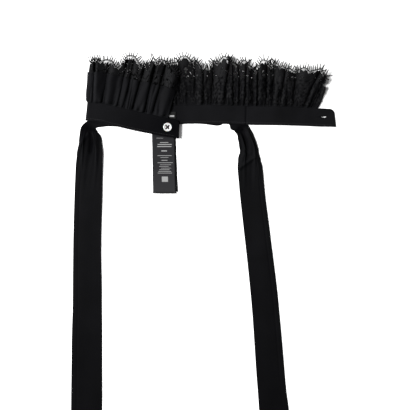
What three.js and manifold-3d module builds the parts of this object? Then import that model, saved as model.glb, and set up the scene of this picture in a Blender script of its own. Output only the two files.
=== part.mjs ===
// A ruffled collar laid out flat: a buttoned stand band whose button end is folded over
// onto the rest, a gathered cloth frill, a gathered lace frill behind it, one long ribbon
// that runs behind the band and leaves it as two ties, a shirt button and three labels.
//
// Millimetres, +Z up, lying on z = 0. The finished group is moved so that its origin is
// the middle of its footprint. Everything is first laid out in the sheet frame: +X to the
// right, +Y towards the frill, with the middle of the layout at x = 0, y = 0.
import * as THREE from "three";
import { mergeVertices } from "three/addons/utils/BufferGeometryUtils.js";
import Module from "manifold-3d";

const wasm = await Module();
wasm.setup();

// Cloth thicknesses and the clearance that touching pieces keep.
const BAND_WALL = 1.6;
const CLOTH_WALL = 1.0;
const LACE_WALL = 1.0;
const RIBBON_WALL = 1.0;
const LABEL_WALL = 1.0;
const CLEARANCE = 0.3;

// The stand band: two ends, each with a round upper corner and a lower corner that juts out.
const BAND_CORNER = 6;
const BAND_JUT = 3;
const BAND_JUT_RUN = 12;
const BAND_LEAD = 4; // the seam path runs on this far past both ends of the band
const BAND_STEP = 7;

// The frills: how far the cloth and the lace stand from the seam.
const FRILL_REACH = 58; // sway and lift in the tables are stated at this distance from the seam
const SEAM_RISE = 0.7; // half height of the gathers where they are sewn in
const SEAM_GAP = 0.45; // between the band's upper edge and the frills
const FRILL_GAP = 0.7; // between the cloth frill and the lace frill
const FRILL_START = 14; // bare band at the button end
const FRILL_TAB = 19.5; // bare band at the buttonhole end
const BUTTON_END_TAPER = 0.04; // share of its height that a frill loses at each end
const TAB_END_TAPER = 0.24;
const END_TAPER_RUN = 15;
const FLUTE_STEPS = 8; // columns in each flute
const FLUTE_FULLNESS = 0.35; // steepens a flute's flanks and rounds its crest

// The band as it lies, along its gathering seam. x, y: the seam from above. z: the middle
// of the band's wall. lean: degrees that the band's upright turns towards +X. tall: height
// of the band. lift: how far a frill's free edge stands above the seam.
const FRONT_LAYER = [
  { x: -25.5, y: 100.2, z: 7.0, lean: 10, tall: 21.4, lift: 6.0 },
  { x: -54.6, y: 106.6, z: 7.0, lean: 11.5, tall: 23.0, lift: 6.0 },
  { x: -80.2, y: 112.1, z: 7.1, lean: 13, tall: 23.4, lift: 6.0 },
  { x: -104.4, y: 117.6, z: 7.2, lean: 12.5, tall: 23.2, lift: 6.0 },
  { x: -122.0, y: 121.6, z: 7.3, lean: 10, tall: 22.5, lift: 6.0 },
  { x: -137.8, y: 122.9, z: 7.3, lean: 6.7, tall: 22.2, lift: 5.4 },
];
const BACK_LAYER = [
  { x: -137.8, y: 122.9, z: 2.1, lean: 6.7, tall: 22.2, lift: 2.0 },
  { x: -120.0, y: 119.0, z: 2.1, lean: 9, tall: 22.5, lift: 2.0 },
  { x: -98.0, y: 116.3, z: 2.1, lean: 3, tall: 22.5, lift: 2.0 },
  { x: -70.0, y: 117.0, z: 2.1, lean: -2.5, tall: 22.5, lift: 2.0 },
  { x: -40.0, y: 119.0, z: 2.1, lean: -3, tall: 22.5, lift: 2.0 },
  { x: -10.0, y: 120.2, z: 2.1, lean: -1, tall: 22.5, lift: 3.9 },
  { x: 25.0, y: 119.8, z: 2.1, lean: 0.8, tall: 22.5, lift: 4.1 },
  { x: 60.0, y: 118.8, z: 2.1, lean: 1.2, tall: 22.8, lift: 4.1 },
  { x: 100.0, y: 118.2, z: 2.1, lean: 2, tall: 22.8, lift: 4.1 },
  { x: 132.0, y: 116.4, z: 2.1, lean: 3, tall: 22.2, lift: 4.1 },
  { x: 159.5, y: 114.9, z: 0.8, lean: 3.5, tall: 21.4, lift: 4.1 },
];

// The flutes of the two frills, in order along the seam. layer and x: where the crest of
// a flute, the side seen from above, meets the seam. rise: its half height at the free edge. sway: how far
// its free edge slides along the seam, towards the buttonhole end. reach: how far the
// lace stands there. dip: how far the lace edge falls between this flute and the next.
const FLUTES = [
  { layer: "front", x: -54, rise: 3.4, sway: -2, reach: 50, dip: 6 },
  { layer: "front", x: -68.3, rise: 3.2, sway: 2, reach: 54, dip: 8 },
  { layer: "front", x: -79.2, rise: 3.4, sway: 2, reach: 53, dip: 10 },
  { layer: "front", x: -90.6, rise: 3.2, sway: 2, reach: 55, dip: 9 },
  { layer: "front", x: -99.8, rise: 3.0, sway: 1, reach: 56, dip: 10 },
  { layer: "front", x: -113, rise: 3.2, sway: 1, reach: 53, dip: 9 },
  { layer: "front", x: -128, rise: 2.6, sway: 0.5, reach: 54, dip: 7 },
  { layer: "fold", x: 0, rise: 3.8, sway: 0, reach: 53, dip: 8 },
  { layer: "back", x: -124, rise: 2.4, sway: 0, reach: 56, dip: 8 },
  { layer: "back", x: -109, rise: 2.6, sway: 0, reach: 56, dip: 8 },
  { layer: "back", x: -94, rise: 2.6, sway: 1, reach: 60, dip: 4 },
  { layer: "back", x: -79, rise: 2.6, sway: 0, reach: 57, dip: 9 },
  { layer: "back", x: -64, rise: 2.6, sway: 0, reach: 58, dip: 7 },
  { layer: "back", x: -50, rise: 2.6, sway: 1, reach: 56, dip: 8 },
  { layer: "back", x: -36, rise: 2.6, sway: 0, reach: 55, dip: 9 },
  { layer: "back", x: -23, rise: 3.6, sway: 0, reach: 57, dip: 7 },
  { layer: "back", x: -11.4, rise: 4.0, sway: 0, reach: 54, dip: 10 },
  { layer: "back", x: 0.5, rise: 4.0, sway: 0, reach: 47, dip: 6 },
  { layer: "back", x: 10, rise: 4.2, sway: -1, reach: 52, dip: 7 },
  { layer: "back", x: 22.8, rise: 4.2, sway: 2, reach: 59, dip: 5 },
  { layer: "back", x: 33, rise: 4.2, sway: -1, reach: 55, dip: 8 },
  { layer: "back", x: 46.5, rise: 4.2, sway: 0, reach: 52, dip: 8 },
  { layer: "back", x: 58, rise: 4.2, sway: 0, reach: 42, dip: 1 },
  { layer: "back", x: 69, rise: 4.2, sway: 0, reach: 54, dip: 9 },
  { layer: "back", x: 81.5, rise: 3.8, sway: 1, reach: 53, dip: 6 },
  { layer: "back", x: 91, rise: 4.0, sway: 1, reach: 49, dip: 6 },
  { layer: "back", x: 101, rise: 4.0, sway: 0, reach: 44, dip: 4 },
  { layer: "back", x: 112, rise: 4.0, sway: 7, reach: 46, dip: 4 },
  { layer: "back", x: 123, rise: 3.6, sway: 15, reach: 49, dip: 4 },
];
const BUTTON_END_SWAY = -3;
const TAB_END_SWAY = 26;
const TAB_END_REACH = 42;
const LACE_ROWS = [0, 14, 37, 45]; // distances from the seam, below the scalloped edge
const LACE_EYELET_ROW = 2; // the row of cells that holds one open eyelet to a flute
const CLOTH_ROWS = [0, 14, 37]; // the cloth ends at its last row, where the lace goes on

// The ribbon, from the end of the left tie, round behind the band, to the end of the
// right tie. x, y: its middle line. wide: its width as it lies. pleats: depth of its two
// lengthwise gathers. bed: height of its underside.
const RIBBON = [
  { x: -142.2, y: -253.5, wide: 37.4, pleats: 0, bed: 0 },
  { x: -141.8, y: -174, wide: 36.6, pleats: 0, bed: 0 },
  { x: -141.3, y: -110, wide: 34.8, pleats: 0, bed: 0 },
  { x: -141.4, y: -50, wide: 33.6, pleats: 0, bed: 0 },
  { x: -141.0, y: 0, wide: 32.0, pleats: 0, bed: 0 },
  { x: -139.8, y: 40, wide: 31.4, pleats: 0.6, bed: 0 },
  { x: -138.8, y: 60, wide: 31.0, pleats: 1.8, bed: 0.2 },
  { x: -138.9, y: 77, wide: 28.0, pleats: 3.2, bed: 0.4 },
  { x: -139.6, y: 90, wide: 21.0, pleats: 0.5, bed: 0 },
  { x: -135.2, y: 98.4, wide: 18.0, pleats: 0, bed: 0 },
  { x: -122.0, y: 102.6, wide: 17.5, pleats: 0, bed: 0 },
  { x: -98, y: 104, wide: 19.5, pleats: 0, bed: 0 },
  { x: -50, y: 107, wide: 20, pleats: 0, bed: 0 },
  { x: -10, y: 107.8, wide: 20.6, pleats: 0, bed: 0 },
  { x: 14, y: 106.4, wide: 22.6, pleats: 0, bed: 0 },
  { x: 32, y: 103, wide: 20, pleats: 0, bed: 0 },
  { x: 43, y: 93.5, wide: 17.5, pleats: 0, bed: 0 },
  { x: 46.4, y: 88.4, wide: 17.2, pleats: 0.6, bed: 0 },
  { x: 49, y: 82, wide: 18, pleats: 2.8, bed: 0.3 },
  { x: 51.6, y: 73, wide: 21.2, pleats: 3.4, bed: 0.5 },
  { x: 53.2, y: 60, wide: 25.2, pleats: 2.4, bed: 0.4 },
  { x: 54, y: 42, wide: 29.6, pleats: 1.0, bed: 0.1 },
  { x: 57.4, y: 8, wide: 30.2, pleats: 0, bed: 0 },
  { x: 63.4, y: -42, wide: 31, pleats: 0, bed: 0 },
  { x: 71.6, y: -114, wide: 32.4, pleats: 0, bed: 0 },
  { x: 79.2, y: -210, wide: 34, pleats: 0, bed: 0 },
  { x: 83.4, y: -253.5, wide: 35.8, pleats: 0, bed: 0 },
];
const RIBBON_STEPS = 2; // sections made for each row of the table
const RIBBON_ACROSS = 6;

// The care label's two leaves hang from the band's inner face and reach the table below
// it. y: along the leaf. left, right: its two edges. z: height of the middle of its wall.
const CARE_LABEL_TOP_LEAF = [
  { y: 102.4, left: -64.2, right: -36.6, z: 5.05 },
  { y: 94.4, left: -64.0, right: -36.5, z: 5.05 },
  { y: 88.4, left: -63.8, right: -36.4, z: 3.55 },
  { y: 79.4, left: -63.6, right: -36.2, z: 2.15 },
  { y: 66, left: -63.3, right: -35.9, z: 1.85 },
  { y: 40, left: -62.9, right: -35.5, z: 1.85 },
  { y: 13.8, left: -62.4, right: -34.8, z: 1.85 },
];
const CARE_LABEL_UNDER_LEAF = [
  { y: 102.4, left: -63.8, right: -36.4, z: 3.7 },
  { y: 94.4, left: -63.4, right: -36.1, z: 3.7 },
  { y: 87.8, left: -63, right: -35.7, z: 2.0 },
  { y: 78.8, left: -62.4, right: -35.1, z: 0.7 },
  { y: 66, left: -61.8, right: -34.6, z: 0.5 },
  { y: 40, left: -61.0, right: -33.6, z: 0.5 },
  { y: 15.8, left: -60.2, right: -32.4, z: 0.5 },
];
const NECK_LABEL = { left: -70, right: -34.6, low: 103.2, high: 111.4 };

// The shirt button, sewn on near the end of the folded-over part.
const BUTTON = { x: -44.8, y: 93.2, radius: 5.15, thick: 2.2, rim: 1.3, dish: 0.6, sides: 28 };
const BUTTON_HOLE = { radius: 0.8, spacing: 2.7, sides: 8 };

// The buttonhole, cut through the band near the other end.
const BUTTONHOLE = { x: 141.2, y: 105.6, length: 11.4, gape: 2.8, points: 5 };

const smooth = (t) => t * t * (3 - 2 * t);
const clamp = (t) => Math.min(1, Math.max(0, t));
const mix = (a, b, t) => a + (b - a) * t;

// A column of a table at a place between its rows, level at every row.
function column(rows, key, at) {
  const low = Math.min(Math.floor(at), rows.length - 2);
  return mix(rows[low][key], rows[low + 1][key], smooth(at - low));
}

// The seam path.

const LAYER_STEPS = 12;
const FOLD_STEPS = 16;

function layerFrames(rows) {
  const line = new THREE.CatmullRomCurve3(
    rows.map((row) => new THREE.Vector3(row.x, row.y, 0)),
    false,
    "catmullrom",
  );
  const steps = (rows.length - 1) * LAYER_STEPS;
  return Array.from({ length: steps + 1 }, (_, k) => {
    const at = k / LAYER_STEPS;
    const point = line.getPoint(k / steps).setZ(column(rows, "z", at));
    const [lean, tall, lift] = ["lean", "tall", "lift"].map((key) => column(rows, key, at));
    return { point, lean, tall, lift };
  });
}

// The half circle that joins the front layer to the back layer.
function foldFrames(front, back) {
  const radius = (front.z - back.z) / 2;
  const lean = THREE.MathUtils.degToRad(front.lean);
  return Array.from({ length: FOLD_STEPS - 1 }, (_, k) => {
    const share = (k + 1) / FOLD_STEPS;
    const out = radius * Math.sin(Math.PI * share);
    const point = new THREE.Vector3(
      front.x - out * Math.cos(lean),
      front.y + out * Math.sin(lean),
      back.z + radius * (1 + Math.cos(Math.PI * share)),
    );
    return {
      point,
      lean: front.lean,
      tall: front.tall,
      lift: mix(front.lift, back.lift, share),
    };
  });
}

const frontFrames = layerFrames(FRONT_LAYER);
const arcFrames = foldFrames(FRONT_LAYER.at(-1), BACK_LAYER[0]);
const frames = [...frontFrames, ...arcFrames, ...layerFrames(BACK_LAYER)];
frames.forEach((frame, k) => {
  const before = frames[Math.max(k - 1, 0)].point;
  const after = frames[Math.min(k + 1, frames.length - 1)].point;
  frame.tangent = after.clone().sub(before).normalize();
  frame.s = k === 0 ? 0 : frames[k - 1].s + frame.point.distanceTo(before);
});
const foldMiddle = frames[frontFrames.length + FOLD_STEPS / 2 - 1].s;
const pathLength = frames.at(-1).s;
const bandStart = BAND_LEAD;
const bandEnd = pathLength - BAND_LEAD;

// The seam's frame at a distance s along it: along, upright (towards the frill) and face,
// which points out of the side that is worn outwards.
function seamAt(s) {
  let k = frames.findIndex((frame) => frame.s > s);
  if (k < 1) k = k === 0 ? 1 : frames.length - 1;
  const [a, b] = [frames[k - 1], frames[k]];
  const t = clamp((s - a.s) / (b.s - a.s));
  const along = a.tangent.clone().lerp(b.tangent, t).normalize();
  const lean = THREE.MathUtils.degToRad(mix(a.lean, b.lean, t));
  const upright = new THREE.Vector3(Math.sin(lean), Math.cos(lean), 0);
  upright.addScaledVector(along, -upright.dot(along)).normalize();
  return {
    point: a.point.clone().lerp(b.point, t),
    upright,
    face: upright.clone().cross(along),
    tall: mix(a.tall, b.tall, t),
    lift: mix(a.lift, b.lift, t),
  };
}

// A point at height up from the seam and out from the band's middle, at distance s.
function onCollar(s, up, out = 0) {
  const frame = seamAt(s);
  const point = frame.point.addScaledVector(frame.upright, up).addScaledVector(frame.face, out);
  point.z += (frame.lift * Math.max(up, 0)) / FRILL_REACH;
  return point;
}

// The distance s at which a layer's seam passes x.
function seamDistance(layer, x) {
  if (layer === "fold") return foldMiddle;
  const side = frames.filter((frame) => (layer === "front") === frame.s < foldMiddle);
  const nearest = (a, b) => (Math.abs(a.point.x - x) < Math.abs(b.point.x - x) ? a : b);
  return side.reduce(nearest).s;
}

// Solids.

// A wall of even thickness round a grid of mid-surface points, grid[i][j]. Where
// open(i, j) is true the cell that starts at i, j is left out, as an opening.
function clothWall(grid, thickness, open = () => false) {
  const [columns, rows] = [grid.length, grid[0].length];
  const at = (i, j) => grid[THREE.MathUtils.clamp(i, 0, columns - 1)][THREE.MathUtils.clamp(j, 0, rows - 1)];
  const normalAt = (i, j) => {
    const across = at(i + 1, j).clone().sub(at(i - 1, j));
    const up = at(i, j + 1).clone().sub(at(i, j - 1));
    return across.cross(up).normalize();
  };
  const positions = [];
  for (let i = 0; i < columns; i++)
    for (let j = 0; j < rows; j++)
      for (const side of [0.5, -0.5])
        positions.push(...at(i, j).clone().addScaledVector(normalAt(i, j), side * thickness));
  const vertex = (i, j, side) => 2 * (i * rows + j) + side;
  const solid = (i, j) =>
    i >= 0 && j >= 0 && i < columns - 1 && j < rows - 1 && !open(i, j);
  const triangles = [];
  const quad = (a, b, c, d) => triangles.push(a, b, c, a, c, d);
  const rim = ([i, j], [k, l]) => quad(vertex(i, j, 1), vertex(k, l, 1), vertex(k, l, 0), vertex(i, j, 0));
  for (let i = 0; i < columns - 1; i++)
    for (let j = 0; j < rows - 1; j++) {
      if (!solid(i, j)) continue;
      const ring = [[i, j], [i + 1, j], [i + 1, j + 1], [i, j + 1]];
      quad(...ring.map(([k, l]) => vertex(k, l, 0)));
      quad(...ring.map(([k, l]) => vertex(k, l, 1)).reverse());
      const neighbours = [[i, j - 1], [i + 1, j], [i, j + 1], [i - 1, j]];
      neighbours.forEach(([k, l], side) => {
        if (!solid(k, l)) rim(ring[side], ring[(side + 1) % 4]);
      });
    }
  const used = [...new Set(triangles)];
  const renumber = new Map(used.map((old, index) => [old, index]));
  const geometry = new THREE.BufferGeometry();
  const kept = used.flatMap((old) => positions.slice(3 * old, 3 * old + 3));
  geometry.setAttribute("position", new THREE.Float32BufferAttribute(kept, 3));
  geometry.setIndex(triangles.map((old) => renumber.get(old)));
  return geometry;
}

function toSolid(geometry) {
  const bare = geometry.clone();
  bare.deleteAttribute("normal");
  bare.deleteAttribute("uv");
  const merged = mergeVertices(bare, 1e-3);
  return new wasm.Manifold(
    new wasm.Mesh({
      numProp: 3,
      vertProperties: merged.attributes.position.array,
      triVerts: new Uint32Array(merged.index.array),
    }),
  );
}

function toGeometry(solid) {
  const mesh = solid.getMesh();
  const geometry = new THREE.BufferGeometry();
  geometry.setAttribute("position", new THREE.BufferAttribute(mesh.vertProperties, 3));
  geometry.setIndex(new THREE.BufferAttribute(mesh.triVerts, 1));
  return geometry;
}

const collar = new THREE.Group();

function addPiece(name, geometry, finish) {
  geometry.computeVertexNormals();
  const mesh = new THREE.Mesh(geometry, new THREE.MeshStandardMaterial(finish));
  mesh.name = name;
  collar.add(mesh);
  return mesh;
}

const BLACK_CREPE = { color: 0x131315, roughness: 0.8, metalness: 0 };
const BLACK_LACE = { color: 0x0d0d0e, roughness: 0.85, metalness: 0 };
const BLACK_SATIN = { color: 0x202022, roughness: 0.5, metalness: 0 };
const WHITE_PEARL = { color: 0xeeeeec, roughness: 0.25, metalness: 0 };

// The band, with its round upper corners, and the buttonhole cut through it.

const cornerSteps = [0, 0.06, 0.22, 0.5, 1].map((share) => share * BAND_CORNER);
const plainFrom = bandStart + BAND_CORNER + BAND_STEP;
const plainTo = bandEnd - BAND_CORNER - BAND_STEP;
const plainSteps = Math.round((plainTo - plainFrom) / BAND_STEP);
const bandStations = [
  ...cornerSteps.map((step) => bandStart + step),
  ...Array.from({ length: plainSteps + 1 }, (_, k) => mix(plainFrom, plainTo, k / plainSteps)),
  ...cornerSteps.map((step) => bandEnd - step).reverse(),
];
// Extra stations carry the band round its fold.
const foldReach = 7;
const bandSections = [
  ...bandStations.filter((s) => Math.abs(s - foldMiddle) > foldReach + 2),
  ...Array.from({ length: 9 }, (_, k) => foldMiddle + foldReach * (k / 4 - 1)),
].sort((a, b) => a - b);

const bandGrid = bandSections.map((s) => {
  const end = Math.min(s - bandStart, bandEnd - s);
  const short = BAND_CORNER - Math.min(end, BAND_CORNER);
  const top = Math.sqrt(BAND_CORNER ** 2 - short ** 2) - BAND_CORNER;
  const outwards = s < foldMiddle ? -1 : 1;
  const jut = outwards * BAND_JUT * (1 - smooth(clamp(end / BAND_JUT_RUN)));
  return [onCollar(s + jut, -seamAt(s).tall), onCollar(s, top)];
});

function buttonholeCutter() {
  const { x, y, length, gape, points } = BUTTONHOLE;
  const edge = (side) =>
    Array.from({ length: points - 1 }, (_, k) => {
      const share = (k + 1) / points;
      const half = (side * gape * Math.sin(Math.PI * share ** 1.4)) / 2;
      return new THREE.Vector2(x - length / 2 + length * share, y + half);
    });
  const tip = (side) => new THREE.Vector2(x + (side * length) / 2, y);
  const outline = new THREE.Shape([tip(-1), ...edge(-1), tip(1), ...edge(1).reverse()]);
  return new THREE.ExtrudeGeometry(outline, { depth: 20, bevelEnabled: false }).translate(0, 0, -5);
}

const wholeBand = toSolid(clothWall(bandGrid, BAND_WALL));
addPiece("stand_band", toGeometry(wholeBand.subtract(toSolid(buttonholeCutter()))), BLACK_CREPE);

// The two frills share their flutes. A place along them is a flute number, whole at each
// crest, and runs half a flute past the first and the last crest.

const crests = FLUTES.map((flute) => ({ ...flute, s: seamDistance(flute.layer, flute.x) }));
const foldPlace = FLUTES.findIndex(({ layer }) => layer === "fold");
const frillEnds = [bandStart + FRILL_START, bandEnd - FRILL_TAB];
const stops = [
  { ...crests[0], s: frillEnds[0], sway: BUTTON_END_SWAY, place: -0.5 },
  ...crests.map((crest, k) => ({ ...crest, place: k })),
  { ...crests.at(-1), s: frillEnds[1], sway: TAB_END_SWAY, reach: TAB_END_REACH, place: crests.length - 0.5 },
];

// The flute at a place, worked out from the stops on both sides of it.
function fluteAt(place) {
  const next = stops.findIndex((stop) => stop.place > place);
  const k = next < 1 ? stops.length - 1 : next;
  const [a, b] = [stops[k - 1], stops[k]];
  const t = clamp((place - a.place) / (b.place - a.place));
  const value = (key) => mix(a[key], b[key], smooth(t));
  return {
    s: mix(a.s, b.s, t),
    pitch: (b.s - a.s) / (b.place - a.place),
    sway: value("sway"),
    rise: value("rise"),
    reach: value("reach"),
    dip: value("dip"),
  };
}

function endTaper(place) {
  const { s } = fluteAt(place);
  const loss = (taper, end) => taper * (1 - smooth(clamp(end / END_TAPER_RUN)));
  return 1 - loss(BUTTON_END_TAPER, s - frillEnds[0]) - loss(TAB_END_TAPER, frillEnds[1] - s);
}

// The middle between the two frills, and each frill's own wall to one side of it. The
// flutes turn half a wave less past the fold, so that their crests face up on both layers.
function frillPoint(place, up) {
  const flute = fluteAt(place);
  const share = up / FRILL_REACH;
  const turn = 2 * Math.PI * (place - clamp(place - foldPlace) / 2);
  const swell = (FLUTE_FULLNESS * flute.pitch * Math.sin(2 * turn)) / (4 * Math.PI);
  const s = flute.s + flute.sway * share ** 1.3 + swell * Math.sqrt(share);
  return onCollar(s, up, mix(SEAM_RISE, flute.rise, share) * Math.cos(turn));
}

const firstPlace = stops[0].place;
const frillColumns = Math.round((stops.at(-1).place - firstPlace) * FLUTE_STEPS);

function frillGrid(rowsAt, out) {
  const middle = Array.from({ length: frillColumns + 1 }, (_, i) => {
    const place = firstPlace + i / FLUTE_STEPS;
    return rowsAt(place).map((up) => frillPoint(place, up));
  });
  const normalAt = (i, j) => {
    const near = (k, l) =>
      middle[THREE.MathUtils.clamp(k, 0, frillColumns)][THREE.MathUtils.clamp(l, 0, middle[0].length - 1)];
    const across = near(i + 1, j).clone().sub(near(i - 1, j));
    return near(i, j + 1).clone().sub(near(i, j - 1)).cross(across).normalize();
  };
  return middle.map((rows, i) => rows.map((point, j) => point.clone().addScaledVector(normalAt(i, j), out)));
}

const clothRows = (place) => CLOTH_ROWS.map((up) => SEAM_GAP + up * endTaper(place));
const clothGrid = frillGrid(clothRows, (CLOTH_WALL + FRILL_GAP) / 2);
addPiece("cloth_frill", clothWall(clothGrid, CLOTH_WALL), BLACK_CREPE);

const laceRows = (place) => {
  const { reach, dip } = fluteAt(place);
  const scallop = (1 - Math.cos(2 * Math.PI * place)) / 2;
  const rows = [...LACE_ROWS, reach - dip * scallop ** 1.5];
  const edge = rows.at(-1);
  const squeeze = Math.min(1, (edge - 3) / LACE_ROWS.at(-1));
  return rows.map((up, j) => {
    const kept = j < LACE_ROWS.length ? up * squeeze : edge;
    return SEAM_GAP + kept * endTaper(place);
  });
};
const laceGrid = frillGrid(laceRows, -(LACE_WALL + FRILL_GAP) / 2);
const eyeletColumns = [FLUTE_STEPS / 2 - 1, FLUTE_STEPS / 2];
const eyelet = (i, j) => j === LACE_EYELET_ROW && eyeletColumns.includes(i % FLUTE_STEPS);
addPiece("lace_frill", clothWall(laceGrid, LACE_WALL, eyelet), BLACK_LACE);

// The ribbon.

const ribbonLine = new THREE.CatmullRomCurve3(
  RIBBON.map((row) => new THREE.Vector3(row.x, row.y, 0)),
  false,
  "catmullrom",
);
const ribbonSections = (RIBBON.length - 1) * RIBBON_STEPS;
const ribbonGrid = Array.from({ length: ribbonSections + 1 }, (_, k) => {
  const at = k / RIBBON_STEPS;
  const middle = ribbonLine.getPoint(k / ribbonSections);
  const heading = ribbonLine.getTangent(k / ribbonSections);
  const side = new THREE.Vector3(-heading.y, heading.x, 0);
  const [wide, pleats, bed] = ["wide", "pleats", "bed"].map((key) => column(RIBBON, key, at));
  return Array.from({ length: RIBBON_ACROSS + 1 }, (_, j) => {
    const share = j / RIBBON_ACROSS;
    const point = middle.clone().addScaledVector(side, wide * (share - 0.5));
    point.z = bed + RIBBON_WALL / 2 + (pleats * (1 - Math.cos(4 * Math.PI * share))) / 2;
    return point;
  });
});
addPiece("tie_ribbon", clothWall(ribbonGrid, RIBBON_WALL), BLACK_CREPE);

// The labels.

const leafGrid = (rows) =>
  [0, 1].map((side) =>
    rows
      .map((row) => new THREE.Vector3(side ? row.right : row.left, row.y, row.z))
      .reverse(),
  );
addPiece("care_label_top_leaf", clothWall(leafGrid(CARE_LABEL_TOP_LEAF), LABEL_WALL), BLACK_SATIN);
addPiece("care_label_under_leaf", clothWall(leafGrid(CARE_LABEL_UNDER_LEAF), LABEL_WALL), BLACK_SATIN);

const bandTop = BACK_LAYER[0].z + BAND_WALL / 2;
const neckLabel = new THREE.BoxGeometry(
  NECK_LABEL.right - NECK_LABEL.left,
  NECK_LABEL.high - NECK_LABEL.low,
  LABEL_WALL,
);
addPiece("neck_label", neckLabel, BLACK_SATIN).position.set(
  (NECK_LABEL.left + NECK_LABEL.right) / 2,
  (NECK_LABEL.low + NECK_LABEL.high) / 2,
  bandTop + CLEARANCE + LABEL_WALL / 2,
);

// The button: a turned disc with a raised rim and a shallow dish, drilled four times.

function buttonSolid() {
  const { radius, thick, rim, dish, sides } = BUTTON;
  const profile = [
    [0, 0],
    [radius - 0.9, 0],
    [radius, 0.8],
    [radius, thick - 0.4],
    [radius - 0.4, thick],
    [radius - rim, thick],
    [radius - rim - 0.5, thick - dish],
    [0, thick - dish],
  ].map(([r, z]) => new THREE.Vector2(r, z));
  let solid = toSolid(new THREE.LatheGeometry(profile, sides).rotateX(Math.PI / 2));
  for (const [i, j] of [[1, 1], [-1, 1], [-1, -1], [1, -1]]) {
    const drill = new THREE.CylinderGeometry(BUTTON_HOLE.radius, BUTTON_HOLE.radius, 4 * thick, BUTTON_HOLE.sides);
    drill.rotateX(Math.PI / 2).translate((i * BUTTON_HOLE.spacing) / 2, (j * BUTTON_HOLE.spacing) / 2, 0);
    solid = solid.subtract(toSolid(drill));
  }
  return toGeometry(solid);
}

const buttonSeat = seamAt(seamDistance("front", BUTTON.x));
addPiece("button", buttonSolid(), WHITE_PEARL).position.set(
  BUTTON.x,
  BUTTON.y,
  buttonSeat.point.z + BAND_WALL / 2 + CLEARANCE,
);

// The origin goes to the middle of the footprint, on the table.
const extent = new THREE.Box3().setFromObject(collar, true);
const middle = extent.getCenter(new THREE.Vector3());
collar.position.set(-middle.x, -middle.y, -extent.min.z);

export default collar;
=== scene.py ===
import math

import bpy
import numpy as np
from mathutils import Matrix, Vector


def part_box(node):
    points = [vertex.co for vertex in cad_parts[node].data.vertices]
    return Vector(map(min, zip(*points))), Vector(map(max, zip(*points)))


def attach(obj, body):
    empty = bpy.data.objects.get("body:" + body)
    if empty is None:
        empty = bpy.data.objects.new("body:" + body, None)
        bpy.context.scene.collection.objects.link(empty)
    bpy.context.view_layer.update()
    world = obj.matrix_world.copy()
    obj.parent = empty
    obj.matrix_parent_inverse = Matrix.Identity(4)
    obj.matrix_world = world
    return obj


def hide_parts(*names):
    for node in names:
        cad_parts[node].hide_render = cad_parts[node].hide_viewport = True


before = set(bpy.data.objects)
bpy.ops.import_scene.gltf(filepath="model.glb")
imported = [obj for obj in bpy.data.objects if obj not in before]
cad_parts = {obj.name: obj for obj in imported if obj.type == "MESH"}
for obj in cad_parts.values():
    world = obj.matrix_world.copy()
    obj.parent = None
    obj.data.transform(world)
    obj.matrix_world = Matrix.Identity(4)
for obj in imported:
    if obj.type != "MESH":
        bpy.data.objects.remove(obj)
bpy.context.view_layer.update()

# A black ruffled collar laid flat: stand band, cloth frill, lace frill, ribbon, labels and
# button. Lengths are millimetres in the layout's own frame, +x to the right and +y towards
# the frill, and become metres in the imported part's frame when a mesh is made.
mm = 0.001
rng = np.random.default_rng(21)
buttonSpot = (-44.8, 93.2)
buttonLow, buttonHigh = (np.array(corner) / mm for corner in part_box("button"))
buttonSeat = buttonLow[2]
layoutShift = np.append((buttonLow + buttonHigh)[:2] / 2 - buttonSpot, 0.0)


# shader helpers

class Shade:
    # one output of a node; sums and products of them add Math nodes
    def __init__(self, tree, socket=None):
        self.tree = tree
        self.socket = socket

    def node(self, kind, settings=None, values=None, output=0):
        made = self.tree.nodes.new(kind)
        for name, value in (settings or {}).items():
            setattr(made, name, value)
        for name, value in (values or {}).items():
            if isinstance(value, Shade):
                self.tree.links.new(value.socket, made.inputs[name])
            else:
                made.inputs[name].default_value = value
        return Shade(self.tree, made.outputs[output])

    def math(self, operation, *values):
        return self.node("ShaderNodeMath", {"operation": operation}, dict(enumerate(values)))

    def __add__(self, other):
        return self.math("ADD", self, other)

    def __radd__(self, other):
        return self.math("ADD", other, self)

    def __sub__(self, other):
        return self.math("SUBTRACT", self, other)

    def __rsub__(self, other):
        return self.math("SUBTRACT", other, self)

    def __mul__(self, other):
        return self.math("MULTIPLY", self, other)

    def __rmul__(self, other):
        return self.math("MULTIPLY", other, self)

    def wave(self):
        return self.math("SINE", self)

    def bell(self):
        # 1 where this is 0, and soon nothing as it grows
        return self.math("POWER", math.e, self * -1)

    def between(self, low, high):
        return self.math("GREATER_THAN", self, low) * self.math("LESS_THAN", self, high)

    def mixed(self, first, second):
        # first where this is 0, second where it is 1
        values = {0: self, 6: (*first, 1), 7: (*second, 1)}
        return self.node("ShaderNodeMix", {"data_type": "RGBA"}, values, output=2)


def startMaterial(name, constants):
    material = bpy.data.materials.new(name)
    material.use_nodes = True
    surface = material.node_tree.nodes["Principled BSDF"]
    for socket, value in constants.items():
        surface.inputs[socket].default_value = value
    return material, Shade(material.node_tree), surface


def plug(shade, surface, socket):
    shade.tree.links.new(shade.socket, surface.inputs[socket])


def noise(place, scale, detail=3.0):
    return place.node("ShaderNodeTexNoise", None, {"Vector": place, "Scale": scale, "Detail": detail})


def bumpFrom(height, strength, distance):
    values = {"Height": height, "Strength": strength, "Distance": distance * mm}
    return height.node("ShaderNodeBump", None, values)


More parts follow.
